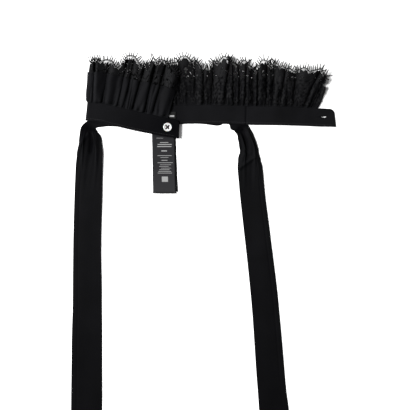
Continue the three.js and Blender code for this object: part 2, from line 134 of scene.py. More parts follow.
# Black woven cloth: a fine twill seen through its UV map, which is in centimetres.
def wovenCloth(name, look):
    material, start, surface = startMaterial(
        name,
        {
            "Specular IOR Level": look["gloss"],
            "Sheen Weight": look["sheen"],
            "Sheen Roughness": 0.55,
            "Sheen Tint": (*look["sheenTint"], 1),
        },
    )
    flat = start.node("ShaderNodeUVMap")
    split = flat.node("ShaderNodeSeparateXYZ", None, {0: flat})
    across = split
    along = Shade(split.tree, split.socket.node.outputs[1])
    turns = 2 * math.pi * 10 / look["threadPitch"]
    twill = (across * turns + along * turns).wave() * 0.5 + 0.5
    rib = (along * (turns * 0.5)).wave() * 0.5 + 0.5
    slub = noise(flat, look["slubScale"], 4.0)
    cloudy = noise(start.node("ShaderNodeTexCoord", output=3), 24.0)
    tone = (cloudy * 0.6 + slub * 0.4 - 0.5) * look["contrast"] + 0.5
    # soft darker patches painted into the colour and the gloss, most of them painted shade: each
    # one's place along and across the cloth, its reach both ways in millimetres, and how deep it is
    lit = 1
    for at, up, long, tall, deep in look["dusks"]:
        off = (across * 10 - at) * (1 / long)
        rise = (along * 10 - up) * (1 / tall)
        lit = (1 - deep * (off * off + rise * rise).bell()) * lit
    if look["dusks"]:
        tone = tone * lit
        plug(lit * look["gloss"], surface, "Specular IOR Level")
    plug(tone.mixed(look["dark"], look["light"]), surface, "Base Color")
    plug(0.12 * slub + look["roughness"], surface, "Roughness")
    height = twill * 0.5 + rib * 0.15 + slub * 0.9
    plug(bumpFrom(height, look["relief"], 0.12), surface, "Normal")
    return material


def laceThread(name, look):
    material, start, surface = startMaterial(
        name, {"Specular IOR Level": look["gloss"], "Sheen Weight": look["sheen"], "Sheen Roughness": 0.5}
    )
    fluff = noise(start.node("ShaderNodeTexCoord", output=3), look["fluffScale"])
    plug(fluff.mixed(look["dark"], look["light"]), surface, "Base Color")
    plug(0.2 * fluff + look["roughness"], surface, "Roughness")
    plug(bumpFrom(fluff, 0.5, 0.15), surface, "Normal")
    return material


# Black satin with plain pale bars woven into it. bars lists each bar's low, high, left and
# right edge in millimetres from the label's lower left corner; the UV map is in centimetres.
def labelSatin(name, look, bars):
    material, start, surface = startMaterial(
        name, {"Specular IOR Level": look["gloss"], "Sheen Weight": 0.05}
    )
    flat = start.node("ShaderNodeUVMap")
    split = flat.node("ShaderNodeSeparateXYZ", None, {0: flat})
    across = split
    along = Shade(split.tree, split.socket.node.outputs[1])
    woven = None
    for low, high, left, right in bars:
        bar = along.between(low / 10, high / 10) * across.between(left / 10, right / 10)
        woven = bar if woven is None else woven + bar
    threads = (across * (2 * math.pi * 10 / look["threadPitch"])).wave() * 0.5 + 0.5
    slub = noise(flat, 9.0, 4.0)
    # the label pales towards its lower end and is dark along its woven sides
    inside = across.between(0.1, look["wide"] / 10 - 0.1)
    ground = ((slub * 0.6 + 0.65 - along * 0.09) * inside).mixed(look["dark"], look["light"])
    if woven is not None:
        values = {0: woven * (0.75 + 0.25 * threads), 6: ground, 7: (*look["bar"], 1)}
        ground = start.node("ShaderNodeMix", {"data_type": "RGBA"}, values, output=2)
    plug(ground, surface, "Base Color")
    plug(0.15 * slub + look["roughness"], surface, "Roughness")
    plug(bumpFrom(threads * 0.6 + slub * 0.6, 0.35, 0.08), surface, "Normal")
    return material


def pearlPlastic(name, look):
    material, start, surface = startMaterial(
        name,
        {
            "Coat Weight": 0.5,
            "Coat Roughness": 0.12,
            "Subsurface Weight": 0.15,
            "Subsurface Scale": 0.0008,
        },
    )
    cloud = noise(start.node("ShaderNodeTexCoord", output=3), 260.0)
    plug(cloud.mixed(look["dark"], look["light"]), surface, "Base Color")
    plug(0.1 * cloud + look["roughness"], surface, "Roughness")
    plug(bumpFrom(cloud, 0.08, 0.1), surface, "Normal")
    return material


# mesh helpers

def linked(name, data):
    thing = bpy.data.objects.new(name, data)
    bpy.context.scene.collection.objects.link(thing)
    return thing


def layoutMesh(name, points, faces):
    # a mesh whose points are given in the layout's millimetres
    mesh = bpy.data.meshes.new(name)
    mesh.from_pydata(((np.asarray(points) + layoutShift) * mm).tolist(), [], faces)
    return mesh


def makePiece(name, points, faces, material, uv=None, slot=None, stands=()):
    mesh = layoutMesh(name, points, faces.tolist())
    mesh.shade_smooth()
    if uv is not None:
        corners = np.zeros(len(mesh.loops), int)
        mesh.loops.foreach_get("vertex_index", corners)
        mesh.uv_layers.new(name="cloth").data.foreach_set("uv", (uv[corners] / 10).ravel())
    mesh.materials.append(material)
    piece = linked(name, mesh)
    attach(piece, "root")
    if stands:
        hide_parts(*stands)
    return piece


def unit(vectors):
    return vectors / np.maximum(np.linalg.norm(vectors, axis=-1, keepdims=True), 1e-9)


def runAlong(points):
    # the distance along a line of points to each of them
    return np.concatenate([[0], np.cumsum(np.linalg.norm(np.diff(points, axis=0), axis=1))])


def gridNormals(grid):
    return unit(np.cross(np.gradient(grid, axis=0), np.gradient(grid, axis=1)))


def gridQuads(columns, rows, offset=0):
    i, j = np.meshgrid(np.arange(columns - 1), np.arange(rows - 1), indexing="ij")
    first = (i * rows + j).ravel() + offset
    return np.stack([first, first + rows, first + rows + 1, first + 1], axis=1)


# A closed sheet round a grid of mid-surface points. half is half the thickness at each
# point and is nothing round the rim, where the two faces meet.
def plumpSheet(grid, half):
    columns, rows = half.shape
    half = half.copy()
    half[[0, -1], :] = 0
    half[:, [0, -1]] = 0
    normals = gridNormals(grid)
    top = (grid + normals * half[..., None]).reshape(-1, 3)
    under = (grid - normals * half[..., None]).reshape(-1, 3)
    rim = (half == 0).ravel()
    underIndex = np.where(rim, np.arange(len(top)), len(top) + np.cumsum(~rim) - 1)
    quads = gridQuads(columns, rows)
    points = np.vstack([top, under[~rim]])
    return points, np.vstack([quads, underIndex[quads][:, ::-1]]), rim


def rimmedThickness(distance, half, rounding):
    # distance from the nearest edge to half thickness, rounded over at the edge
    t = np.clip(distance / rounding, 0, 1)
    return half * np.sqrt(1 - (1 - t) ** 2)


def sheetPiece(name, grid, half, uv, material, slot, stands=()):
    points, faces, rim = plumpSheet(grid, half)
    flat = uv.reshape(-1, 2)
    return makePiece(name, points, faces, material, np.vstack([flat, flat[~rim]]), slot, stands)


# Threads: tubes along lines[k, m, xyz] with the surface's normals beside them.
def threadTubes(lines, normals, radius, sides=4):
    count, steps = lines.shape[:2]
    heading = unit(np.gradient(lines, axis=1))
    sideways = unit(np.cross(heading, normals))
    out = np.cross(sideways, heading)
    radius = np.broadcast_to(radius, (count, steps))[..., None]
    rings = []
    for k in range(sides):
        angle = 2 * math.pi * k / sides
        rings.append(lines + radius * (math.cos(angle) * out + math.sin(angle) * sideways))
    points = np.stack(rings, axis=2).reshape(-1, 3)
    k, m, a = np.meshgrid(np.arange(count), np.arange(steps - 1), np.arange(sides), indexing="ij")
    base = (k * steps + m) * sides
    b = (a + 1) % sides
    quads = np.stack([base + a, base + b, base + sides + b, base + sides + a], axis=-1)
    return points, quads.reshape(-1, 4)


def joined(parts):
    points, faces, start = [], [], 0
    for somePoints, someFaces in parts:
        points.append(somePoints)
        faces.append(someFaces + start)
        start += len(somePoints)
    return np.vstack(points), np.vstack(faces)


# the seam path: from the button end, over the fold, to the buttonhole end

def smooth(t):
    t = np.clip(t, 0, 1)
    return t * t * (3 - 2 * t)


def table(names, rows):
    return [dict(zip(names.split(), row)) for row in rows]


def column(rows, key, at):
    values = np.array([row[key] for row in rows], float)
    low = np.clip(np.floor(at).astype(int), 0, len(rows) - 2)
    return values[low] + (values[low + 1] - values[low]) * smooth(at - low)


def curveThrough(points, perSpan):
    inner = np.array(points, float)
    line = np.vstack([2 * inner[0] - inner[1], inner, 2 * inner[-1] - inner[-2]])
    spans = len(inner) - 1
    at = np.arange(spans * perSpan + 1) / perSpan
    k = np.clip(np.floor(at).astype(int), 0, spans - 1)
    t = (at - k)[:, None]
    a, b, c, d = line[k], line[k + 1], line[k + 2], line[k + 3]
    return at, b + 0.5 * t * (c - a + t * (2 * a - 5 * b + 4 * c - d + t * (3 * (b - c) + d - a)))


# x, y: the seam from above. z: the middle of the band's wall. lean: degrees that its
# upright turns towards +x. tall: height of the band. lift: how far a frill's edge rises.
frontLayer = table("x y z lean tall lift", [
    (-25.5, 100.2, 7.0, 10, 21.4, 6.0),
    (-54.6, 106.6, 7.0, 11.5, 23.0, 6.0),
    (-80.2, 112.1, 7.1, 13, 23.4, 6.0),
    (-104.4, 117.6, 7.2, 12.5, 23.2, 6.0),
    (-122.0, 121.6, 7.3, 10, 22.5, 6.0),
    (-137.8, 122.9, 7.3, 6.7, 22.2, 5.4),
])
backLayer = table("x y z lean tall lift", [
    (-137.8, 122.9, 2.1, 6.7, 22.2, 2.0),
    (-120.0, 119.0, 2.1, 9, 22.5, 2.0),
    (-98.0, 116.3, 2.1, 3, 22.5, 2.0),
    (-70.0, 117.0, 2.1, -2.5, 22.5, 2.0),
    (-40.0, 119.0, 2.1, -3, 22.5, 2.0),
    (-10.0, 120.2, 2.1, -1, 22.5, 3.9),
    (25.0, 119.8, 2.1, 0.8, 22.5, 4.1),
    (60.0, 118.8, 2.1, 1.2, 22.8, 4.1),
    (100.0, 118.2, 2.1, 2, 22.8, 4.1),
    (132.0, 116.4, 2.1, 3, 22.2, 4.1),
    (159.5, 114.9, 0.8, 3.5, 21.4, 4.1),
])
pathKeys = ("lean", "tall", "lift")


def layerPath(rows):
    at, line = curveThrough([(row["x"], row["y"], 0) for row in rows], 12)
    line[:, 2] = column(rows, "z", at)
    return line, np.stack([column(rows, key, at) for key in pathKeys], axis=1)


foldSteps = 16


def foldPath(front, back):
    share = np.arange(1, foldSteps) / foldSteps
    radius = (front["z"] - back["z"]) / 2
    lean = math.radians(front["lean"])
    out = radius * np.sin(np.pi * share)
    line = np.stack(
        [
            front["x"] - out * math.cos(lean),
            front["y"] + out * math.sin(lean),
            back["z"] + radius * (1 + np.cos(np.pi * share)),
        ],
        axis=1,
    )
    values = [front[key] + (back[key] - front[key]) * share for key in pathKeys]
    return line, np.stack(values, axis=1)


stretches = [layerPath(frontLayer), foldPath(frontLayer[-1], backLayer[0]), layerPath(backLayer)]
pathPoints = np.vstack([line for line, _ in stretches])
pathValues = np.vstack([values for _, values in stretches])
pathS = runAlong(pathPoints)
before = pathPoints[np.maximum(np.arange(len(pathPoints)) - 1, 0)]
after = pathPoints[np.minimum(np.arange(len(pathPoints)) + 1, len(pathPoints) - 1)]
pathAlong = unit(after - before)
foldMiddle = pathS[len(stretches[0][0]) + foldSteps // 2 - 1]
bandLead = 4
bandStart, bandEnd = bandLead, pathS[-1] - bandLead


def along(values, s):
    return np.stack([np.interp(s, pathS, values[:, k]) for k in range(values.shape[1])], axis=-1)


def seamAt(s):
    heading = unit(along(pathAlong, s))
    values = along(pathValues, s)
    lean = np.radians(values[..., 0])
    upright = np.stack([np.sin(lean), np.cos(lean), 0 * lean], axis=-1)
    upright = unit(upright - heading * (upright * heading).sum(-1, keepdims=True))
    return along(pathPoints, s), upright, np.cross(upright, heading), values[..., 1], values[..., 2]


def onCollar(s, up, out):
    point, upright, face, _, lift = seamAt(s)
    point = point + upright * up[..., None] + face * out[..., None]
    point[..., 2] += lift * np.maximum(up, 0) / frill["reach"]
    return point


def seamDistance(layer, x):
    if layer == "fold":
        return foldMiddle
    side = (pathS < foldMiddle) == (layer == "front")
    order = np.argsort(pathPoints[side, 0])
    return float(np.interp(x, pathPoints[side, 0][order], pathS[side][order]))


# the frills' shape

frill = {
    "reach": 58,
    "clothTall": {"front": 35.5, "back": 32.8},
    "seamGap": 0.45,
    "seamRise": 1.9,
    "apart": 0.55,
    "start": 14,
    "tab": 21.0,
    "startSway": -3,
    "buttonTaper": 0.04,
    "tabTaper": 0.24,
    "taperRun": 15,
    "pinch": 0.85,
    "valley": 2.2,
    "deepen": 1.25,
    "tucks": 230,
    "creases": 46,
    "rest": 1.2,
    "ease": 1.0,
}
# Every pleat from the button end. crest and valley: x of its ridge and of the valley after
# it, at the seam. The sways say how far each slides along the seam on its way up, rise is
# half its height at the free edge, and tight is how far the valley closes.
pleats = table("layer crest crestSway rise valley valleySway tight", [
    ("front", -54.0, -1, 3.4, -63.6, -4, 1.0),
    ("front", -67.7, -2, 3.0, -72.0, 0, 1.1),
    ("front", -79.4, -2, 3.4, -87.8, -5, 1.1),
    ("front", -92.2, -1, 3.2, -96.5, 2, 0.6),
    ("front", -100.3, 1, 2.8, -104.4, 0, 0.8),
    ("front", -113.0, 0, 3.4, -122.6, 0, 1.2),
    ("front", -128.0, 0, 3.0, -134.0, 0, 1.1),
    ("fold", -142.8, 0, 5.2, -132.6, 0, 0.8),
    ("back", -124.0, 0, 2.6, -116.4, 0, 0.9),
    ("back", -109.0, 0, 2.6, -101.5, 0, 0.9),
    ("back", -94.0, 0, 2.6, -86.4, 0, 0.9),
    ("back", -79.0, 0, 2.6, -71.4, 0, 0.9),
    ("back", -64.0, 0, 2.6, -57.0, 0, 0.9),
    ("back", -50.0, 0, 2.8, -42.6, 0, 0.9),
    ("back", -35.4, 0, 3.2, -29.4, 0, 0.8),
    ("back", -20.4, 0, 3.6, -10.8, 0, 1.1),
    ("back", -6.2, 0, 3.4, -1.9, 0, 0.9),
    ("back", 3.1, 0, 3.6, 8.4, 0, 1.0),
    ("back", 16.8, 4, 4.2, 24.0, 5.5, 1.2),
    ("back", 29.2, 0, 3.2, 34.2, -5.5, 1.1),
    ("back", 38.2, -4, 3.8, 41.8, -4, 0.7),
    ("back", 44.4, -1, 4.0, 47.6, 2, 1.0),
    ("back", 52.8, 0, 4.0, 57.6, -2, 1.0),
    ("back", 60.2, -2, 3.2, 63.1, -3, 1.0),
    ("back", 68.4, 0, 4.2, 73.8, 1, 1.2),
    ("back", 77.2, 2, 3.8, 80.6, 2, 0.5),
    ("back", 85.2, 5, 4.2, 89.8, 10, 1.2),
    ("back", 98.4, 5, 4.2, 106.8, 0, 0.5),
    ("back", 113.2, 12, 4.2, 119.2, 27, 1.2),
    ("back", 123.6, 28, 4.0, 128.0, 25, 1.0),
    ("back", 131.8, 16, 3.6, 135.8, 16, 0.8),
])
# x and y of the lace's edge, without its lashes: over the front layer from the button end to
# the fold, and over the back layer from there to the buttonhole end
frontEdge = [
    (-33.2, 155.4), (-44.4, 169.6), (-53.0, 173.4), (-56.9, 167.4), (-62.9, 175.8), (-68.0, 162.0),
    (-70.1, 168.2), (-74.9, 163.3), (-81.1, 172.8), (-84.0, 177.2), (-91.8, 178.2), (-95.0, 174.7),
    (-101.0, 165.6), (-105.2, 163.2), (-108.6, 168.0), (-111.6, 171.6), (-117.0, 173.6), (-124.2, 171.1),
    (-129.6, 174.2), (-134.4, 173.6), (-137.3, 171.0),
]
backEdge = [
    (-31.7, 171.6), (-28.8, 176.6), (-24.0, 178.2), (-19.2, 175.2), (-15.2, 169.8), (-13.9, 164.4),
    (-10.8, 173.6), (-7.2, 168.6), (-3.6, 162.0), (-0.6, 156.0), (2.4, 166.2), (5.4, 158.4),
    (7.9, 167.4), (11.4, 173.4), (15.1, 166.8), (17.5, 172.8), (22.8, 178.2), (26.4, 175.2),
    (28.0, 168.0), (30.0, 176.4), (33.6, 170.4), (40.0, 165.6), (41.6, 161.4), (42.7, 168.6),
    (45.8, 173.2), (49.8, 171.0), (58.8, 159.0), (61.6, 157.2), (64.8, 162.0), (66.5, 171.6),
    (69.6, 173.4), (76.0, 168.6), (79.2, 163.8), (82.8, 172.8), (87.4, 168.0), (90.0, 163.8),
    (92.4, 166.8), (96.6, 162.6), (100.8, 163.2), (106.2, 159.6), (109.2, 159.6), (114.0, 162.7),
    (118.8, 164.0), (122.0, 162.7), (125.3, 158.4), (127.8, 160.4), (134.0, 162.0), (138.0, 163.6),
    (142.0, 157.2), (147.0, 150.0),
]
frillStart, frillEnd = bandStart + frill["start"], bandEnd - frill["tab"]
foldPlace = [pleat["layer"] for pleat in pleats].index("fold")
stopPlaces = np.arange(-1, 2 * len(pleats)) / 2
stops = {"s": [frillStart], "sway": [frill["startSway"]], "rise": [pleats[0]["rise"]], "tight": [0.6]}
for k, pleat in enumerate(pleats):
    nextRise = pleats[min(k + 1, len(pleats) - 1)]["rise"]
    lastTight = pleats[max(k - 1, 0)]["tight"]
    valleySide = "back" if pleat["layer"] == "fold" else pleat["layer"]
    stops["s"] += [
        seamDistance(pleat["layer"], pleat["crest"]),
        seamDistance(valleySide, pleat["valley"]),
    ]
    stops["sway"] += [pleat["crestSway"], pleat["valleySway"]]
    stops["rise"] += [pleat["rise"], (pleat["rise"] + nextRise) / 2]
    stops["tight"] += [(pleat["tight"] + lastTight) / 2, pleat["tight"]]
stops["s"][-1] = frillEnd
wobbles = table("along up size", [
    (0.37, 0.5, 0.6),
    (0.83, -1.4, 0.5),
    (1.31, 1.1, 0.45),
    (1.9, -2.2, 0.28),
    (2.7, 2.9, 0.2),
])
for wobble in wobbles:
    wobble["phase"] = rng.uniform(0, 2 * math.pi)
# short sharp tucks that start at the seam and fade out on their way up
tucks = [
    {
        "place": rng.uniform(-0.4, len(pleats) - 0.6),
        "drift": rng.normal(0, 0.16),
        "deep": rng.choice([-0.6, 1.0, 1.0]) * rng.uniform(1.2, 2.8),
        "wide": rng.uniform(0.065, 0.13),
        "fade": rng.choice([6, 9, 12, 18, 30]),
        "low": 0,
    }
    for _ in range(frill["tucks"])
]
# longer and softer creases that run askew, each round its own height
tucks += [
    {
        "place": rng.uniform(-0.4, len(pleats) - 0.6),
        "drift": rng.normal(0, 0.5),
        "deep": rng.choice([-1, 1]) * rng.uniform(0.4, 1.3),
        "wide": rng.uniform(0.09, 0.2),
        "fade": rng.uniform(9, 18),
        "low": rng.uniform(5, 45),
    }
    for _ in range(frill["creases"])
]
# each pleat's own slant
pleatSkew = rng.uniform(-0.9, 0.9, len(pleats) + 2)


def betweenPleats(values, place):
    k = np.clip(np.floor(place).astype(int) + 1, 0, len(pleats))
    return values[k] + (values[k + 1] - values[k]) * smooth(place + 1 - k)


def stopAt(key, place):
    # eased over a little way on both sides, so that no stop shows as a crease
    shifts = (-0.16, -0.08, 0, 0.08, 0.16) if key == "s" else (-0.1, 0, 0.1)
    return sum(np.interp(place + shift, stopPlaces, stops[key]) for shift in shifts) / len(shifts)


def endTaper(place):
    s = stopAt("s", place)
    buttonSide = frill["buttonTaper"] * (1 - smooth((s - frillStart) / frill["taperRun"]))
    tabSide = frill["tabTaper"] * (1 - smooth((frillEnd - s) / frill["taperRun"]))
    return 1 - buttonSide - tabSide


# A point between the two frills. Seen from above, the crests are broad and the valleys
# between them narrow, on both layers.
def frillMiddle(place, up):
    share = np.maximum(up, 0) / frill["reach"]
    turn = 2 * math.pi * (place - np.clip(place - foldPlace, 0, 1) / 2)
    side = 1 - 2 * smooth(place - foldPlace)
    pitch = stopAt("s", place + 0.5) - stopAt("s", place - 0.5)
    down = (1 - np.cos(turn)) / 2
    frontLobe = 1 - 2 * down ** frill["valley"]
    backLobe = 2 * (1 - down) ** frill["valley"] - 1
    lobe = ((1 + side) * frontLobe + (1 - side) * backLobe) / 2
    lobe = lobe + betweenPleats(pleatSkew, place) * np.sin(turn) * (0.4 + 0.6 * lobe**2)
    tight = stopAt("tight", place)
    rise = frill["seamRise"] + (frill["deepen"] * stopAt("rise", place) - frill["seamRise"]) * share
    out = rise * lobe * np.minimum(tight, 1.1) * (0.4 + 0.6 * smooth(up / 2))
    for wobble in wobbles:
        angle = 2 * math.pi * (wobble["along"] * place + wobble["up"] * share) + wobble["phase"]
        out = out + wobble["size"] * np.sqrt(share) * np.sin(angle)
    for tuck in tucks:
        off = (place - tuck["place"] - tuck["drift"] * share * 2) / tuck["wide"]
        fade = np.exp(-np.abs(np.maximum(up, 0) - tuck["low"]) / tuck["fade"]) * smooth(up / 1.5)
        out = out - side * tuck["deep"] * fade * np.exp(-(off**2))
    pinch = frill["pinch"] * tight * pitch * np.sin(turn) * side / (2 * math.pi) * share**0.25
    # the frill's end swings out at once, the rest of it further up
    bend = 1.3 - 0.75 * smooth((place - len(pleats) + 2) / 1.5)
    s = stopAt("s", place) + stopAt("sway", place) * share**bend + pinch
    point = onCollar(s, up, out)
    # the frills' undersides settle on the surface below instead of sinking into it
    rest, ease = frill["rest"], frill["ease"]
    z = point[..., 2]
    eased = rest + ease * np.exp(np.minimum((z - rest) / ease - 1, 0))
    point[..., 2] = np.where(z < rest + ease, eased, z)
    return point


def frillSurface(place, up, out):
    # the middle, its normal on the worn side, and the point that lies out from it
    step, rise = 0.02, 0.4
    middle = frillMiddle(place, up)
    across = frillMiddle(place + step, up) - frillMiddle(place - step, up)
    upward = frillMiddle(place, up + rise) - frillMiddle(place, np.maximum(up - rise, 0.05))
    normal = unit(np.cross(upward, across))
    out = np.asarray(out) * (0.25 + 0.75 * smooth(up / 3))
    return middle + normal * out[..., None], normal


print("seam path", round(float(pathS[-1])), "mm,", len(pleats), "pleats")

# materials

clothLook = {
    "dark": (0.0010, 0.0010, 0.0012),
    "light": (0.0040, 0.0040, 0.0048),
    "roughness": 0.75,
    "gloss": 0.05,
    "sheen": 0.002,
    "sheenTint": (0.75, 0.8, 1.0),
    "threadPitch": 0.6,
    "slubScale": 26.0,
    "contrast": 2.4,
    "relief": 0.5,
    "dusks": [],
}
frillCloth = wovenCloth("frill cloth", clothLook)
# darker patches on the ribbon, each along the ribbon, across it, how far it reaches both ways,
# and how deep; the first and the last darken the ties towards their free ends, the rest are painted shade
ribbonDusks = [
    (0, 18, 200, 100, 0.34),
    # painted shadow where the left tie goes in under the band, and painted shade at its top
    (345, 18, 5, 100, 0.75),
    (334, 29, 16, 9, 0.6),
    (326, 16, 18, 3.2, 0.75),
    # painted shadow where the right tie comes out from under the band, and painted shade at its top
    (536, 18, 4.5, 100, 0.7),
    (541, 6, 5, 6, 0.6),
    (555, 13, 16, 5, 0.75),
    (890, 18, 220, 100, 0.36),
]
ribbonLook = dict(
    clothLook,
    dark=(0.0006, 0.0006, 0.0008),
    light=(0.0022, 0.0022, 0.0027),
    threadPitch=0.5,
    relief=0.35,
    dusks=ribbonDusks,
)
ribbonCloth = wovenCloth("ribbon cloth", ribbonLook)
laceLook = {
    "dark": (0.0016, 0.0016, 0.0018),
    "light": (0.0038, 0.0038, 0.0044),
    "roughness": 0.65,
    "gloss": 0.08,
    "sheen": 0.002,
    "fluffScale": 900.0,
}
laceBlack = laceThread("lace thread", laceLook)
sewingLook = {
    "dark": (0.003, 0.003, 0.0034),
    "light": (0.008, 0.008, 0.009),
    "roughness": 0.5,
    "gloss": 0.25,
    "sheen": 0.0,
    "fluffScale": 1500.0,
}
sewingThread = laceThread("sewing thread", sewingLook)
pearlLook = {"dark": (0.36, 0.36, 0.355), "light": (0.46, 0.46, 0.455), "roughness": 0.3}
buttonPearl = pearlPlastic("button pearl", pearlLook)

# the band

band = {
    "half": 0.75,
    "rounding": 0.9,
    "corner": 6,
    "jut": 3,
    "jutRun": 12,
    "step": 1.1,
    "tall": 22.3,
    "across": (
        0, 0.2, 0.5, 0.9, 1.5, 2.2, 2.6, 3.1, 4.5, 7,
        10, 13, 16, 18, 19.5, 20.6, 21.3, 21.8, 22.1, 22.5,
    ),
    "stitchInset": 2.5,
    "stitchLong": 2.3,
    "stitchPitch": 3.0,
    "stitchRise": 0.22,
    "stitchThread": 0.19,
    "stitchDent": 0.16,
    "stitchDentWide": 0.45,
    "crossDent": 0.5,
    "crossDentWide": 0.7,
    "crossSeamX": 49.2,
}
buttonhole = {
    "x": 140.2,
    "y": 105.6,
    "long": 10.4,
    "gape": 1.6,
    "stitches": 110,
    "stitchLong": 1.2,
    "thread": 0.2,
}
crossSeam = seamDistance("back", band["crossSeamX"])
bandLook = dict(
    clothLook,
    dark=(0.0007, 0.0007, 0.0009),
    light=(0.0037, 0.0037, 0.0045),
    # painted shade: the band's button end lies in the shade, and so does the seam across its back
    dusks=[(float(bandStart), 11, 70, 100, 0.7), (crossSeam, 11, 0.9, 100, 0.7)],
)
bandCloth = wovenCloth("band cloth", bandLook)


def bandPoint(s, share):
    # share runs from 0 at the lower edge to 1 at the seam
    s = np.clip(s, bandStart, bandEnd)
    end = np.minimum(s - bandStart, bandEnd - s)
    short = band["corner"] - np.minimum(end, band["corner"])
    top = np.sqrt(band["corner"] ** 2 - short**2) - band["corner"]
    tall = seamAt(s)[3]
    outwards = np.where(s < foldMiddle, -1, 1)
    jut = outwards * band["jut"] * (1 - smooth(end / band["jutRun"])) * (1 - share)
    up = -tall + (tall + top) * share
    wave = 0.22 * np.sin(s / 7.3 + 2.5 * share) * np.sin(s / 17.0 + 1.0)
    wave = wave + 0.12 * np.sin(s / 3.1) * share**3
    return onCollar(s + jut, up, wave * np.minimum(1, end / 12))


def buildBand():
    ends = band["rounding"] * np.array([0, 0.1, 0.3, 0.6, 1.0])
    inner = np.arange(bandStart + 1.6, bandEnd - 1.6, band["step"])
    s = np.concatenate([bandStart + ends, inner, (bandEnd - ends)[::-1]])
    share = np.array(band["across"]) / band["across"][-1]
    grid = bandPoint(s[:, None] + 0 * share, share + 0 * s[:, None])
    tall = band["tall"]
    edge = np.minimum(share, 1 - share) * tall + 0 * s[:, None]
    end = np.minimum(s - bandStart, bandEnd - s)[:, None] + 0 * share
    half = rimmedThickness(np.minimum(edge, end), band["half"], band["rounding"])
    # a pressed line where the topstitching runs, and the seam where the ribbon is sewn on
    pressed = np.exp(-(((share * tall - band["stitchInset"]) / band["stitchDentWide"]) ** 2))
    half -= band["stitchDent"] * pressed * (half > 0.3)
    sewn = np.exp(-(((s[:, None] - crossSeam) / band["crossDentWide"]) ** 2))
    half -= band["crossDent"] * sewn * (half > 0.6)
    uv = np.stack([s[:, None] + 0 * share, share * tall + 0 * s[:, None]], axis=-1)
    grid, half, uv = grid[:, ::-1], half[:, ::-1], uv[:, ::-1]
    piece = sheetPiece("standBand", grid, half, uv, bandCloth, "collar_cloth", ("stand_band",))
    cutButtonhole(piece)
    return piece


def holeOutline(count, grow=0.0):
    t = np.arange(count) / count * 2 * math.pi
    long, gape = buttonhole["long"] / 2 + grow, buttonhole["gape"] / 2 + grow
    x = buttonhole["x"] + long * np.cos(t)
    y = buttonhole["y"] + gape * np.sin(t) * (0.2 + 0.8 * smooth((np.cos(t) + 0.45) / 1.1))
    return np.stack([x, y], axis=1)


def cutButtonhole(piece):
    ring = holeOutline(40)
    low = np.column_stack([ring, np.full(len(ring), -6.0)])
    points = np.vstack([low, low + (0, 0, 16)])
    count = len(ring)
    sides = np.array([[k, (k + 1) % count, (k + 1) % count + count, k + count] for k in range(count)])
    caps = [list(range(count))[::-1], list(range(count, 2 * count))]
    mesh = layoutMesh("buttonholeCutter", points, sides.tolist() + caps)
    cutAway(piece, [linked("buttonholeCutter", mesh)])


def cutAway(piece, cutters):
    # cuts every cutter's shape out of the piece and removes the cutters
    for cutter in cutters:
        cut = piece.modifiers.new("cut", "BOOLEAN")
        cut.object = cutter
        cut.solver = "EXACT"
    shown = piece.evaluated_get(bpy.context.evaluated_depsgraph_get())
    done = bpy.data.meshes.new_from_object(shown)
    piece.modifiers.clear()
    piece.data = done
    for cutter in cutters:
        bpy.data.objects.remove(cutter)


def stitchLines(starts, ends, normals, rise):
    # each stitch is a short thread that arches up between the two points where it dives
    t = np.linspace(0, 1, 6)[None, :, None]
    lines = starts[:, None] * (1 - t) + ends[:, None] * t
    lines = lines + normals[:, None] * (rise * (np.sin(math.pi * t) - 0.25))
    return lines, np.broadcast_to(normals[:, None], lines.shape)


def buildBandStitches():
    first = np.arange(bandStart + 5, bandEnd - 5, band["stitchPitch"])
    share = band["stitchInset"] / band["tall"] + 0 * first
    parts = []
    for side in (1, -1):
        middle, _, face, _, _ = seamAt(first + band["stitchLong"] / 2)
        lift = side * face * (band["half"] - 0.1)
        starts = bandPoint(first, share) + lift
        ends = bandPoint(first + band["stitchLong"], share) + lift
        lines, normals = stitchLines(starts, ends, side * face, band["stitchRise"])
        parts.append(threadTubes(lines, normals, band["stitchThread"], 5))
    # close stitches round the buttonhole
    count = buttonhole["stitches"]
    inner = np.column_stack([holeOutline(count, 0.05), np.zeros(count)])
    outer = np.column_stack([holeOutline(count, 0.05 + buttonhole["stitchLong"]), np.zeros(count)])
    # they lie on the band's face, which sinks towards its end
    height = 0.8 + (band["half"] + 0.02) + 0.9 * np.clip((150 - inner[:, 0]) / 24, 0, 1)
    inner[:, 2], outer[:, 2] = height, height
    lines, normals = stitchLines(inner, outer, np.tile([0.0, 0, 1], (count, 1)), 0.3)
    parts.append(threadTubes(lines, normals, buttonhole["thread"], 5))
    points, faces = joined(parts)
    return makePiece("bandStitches", points, faces, sewingThread, slot="collar_cloth")


standBand = buildBand()
bandStitches = buildBandStitches()
print("band", len(standBand.data.polygons), "faces")

# the cloth frill

clothFrillLook = {
    "half": 0.24,
    "perPleat": 38,
    "hem": 1.6,
    "tall": 37,
    "pleatWide": 16,
    "rows": (
        -1.2, -0.4, 0.4, 1.3, 2.2, 3.3, 4.6, 6, 8, 10, 12.5, 15, 17.5,
        20, 22.5, 25, 27.5, 30, 32, 33.8, 35, 35.7, 36.3, 36.8, 37,
    ),
}


def frillPlaces(perPleat):
    count = int(round((stopPlaces[-1] - stopPlaces[0]) * perPleat)) + 1
    return np.linspace(stopPlaces[0], stopPlaces[-1], count)


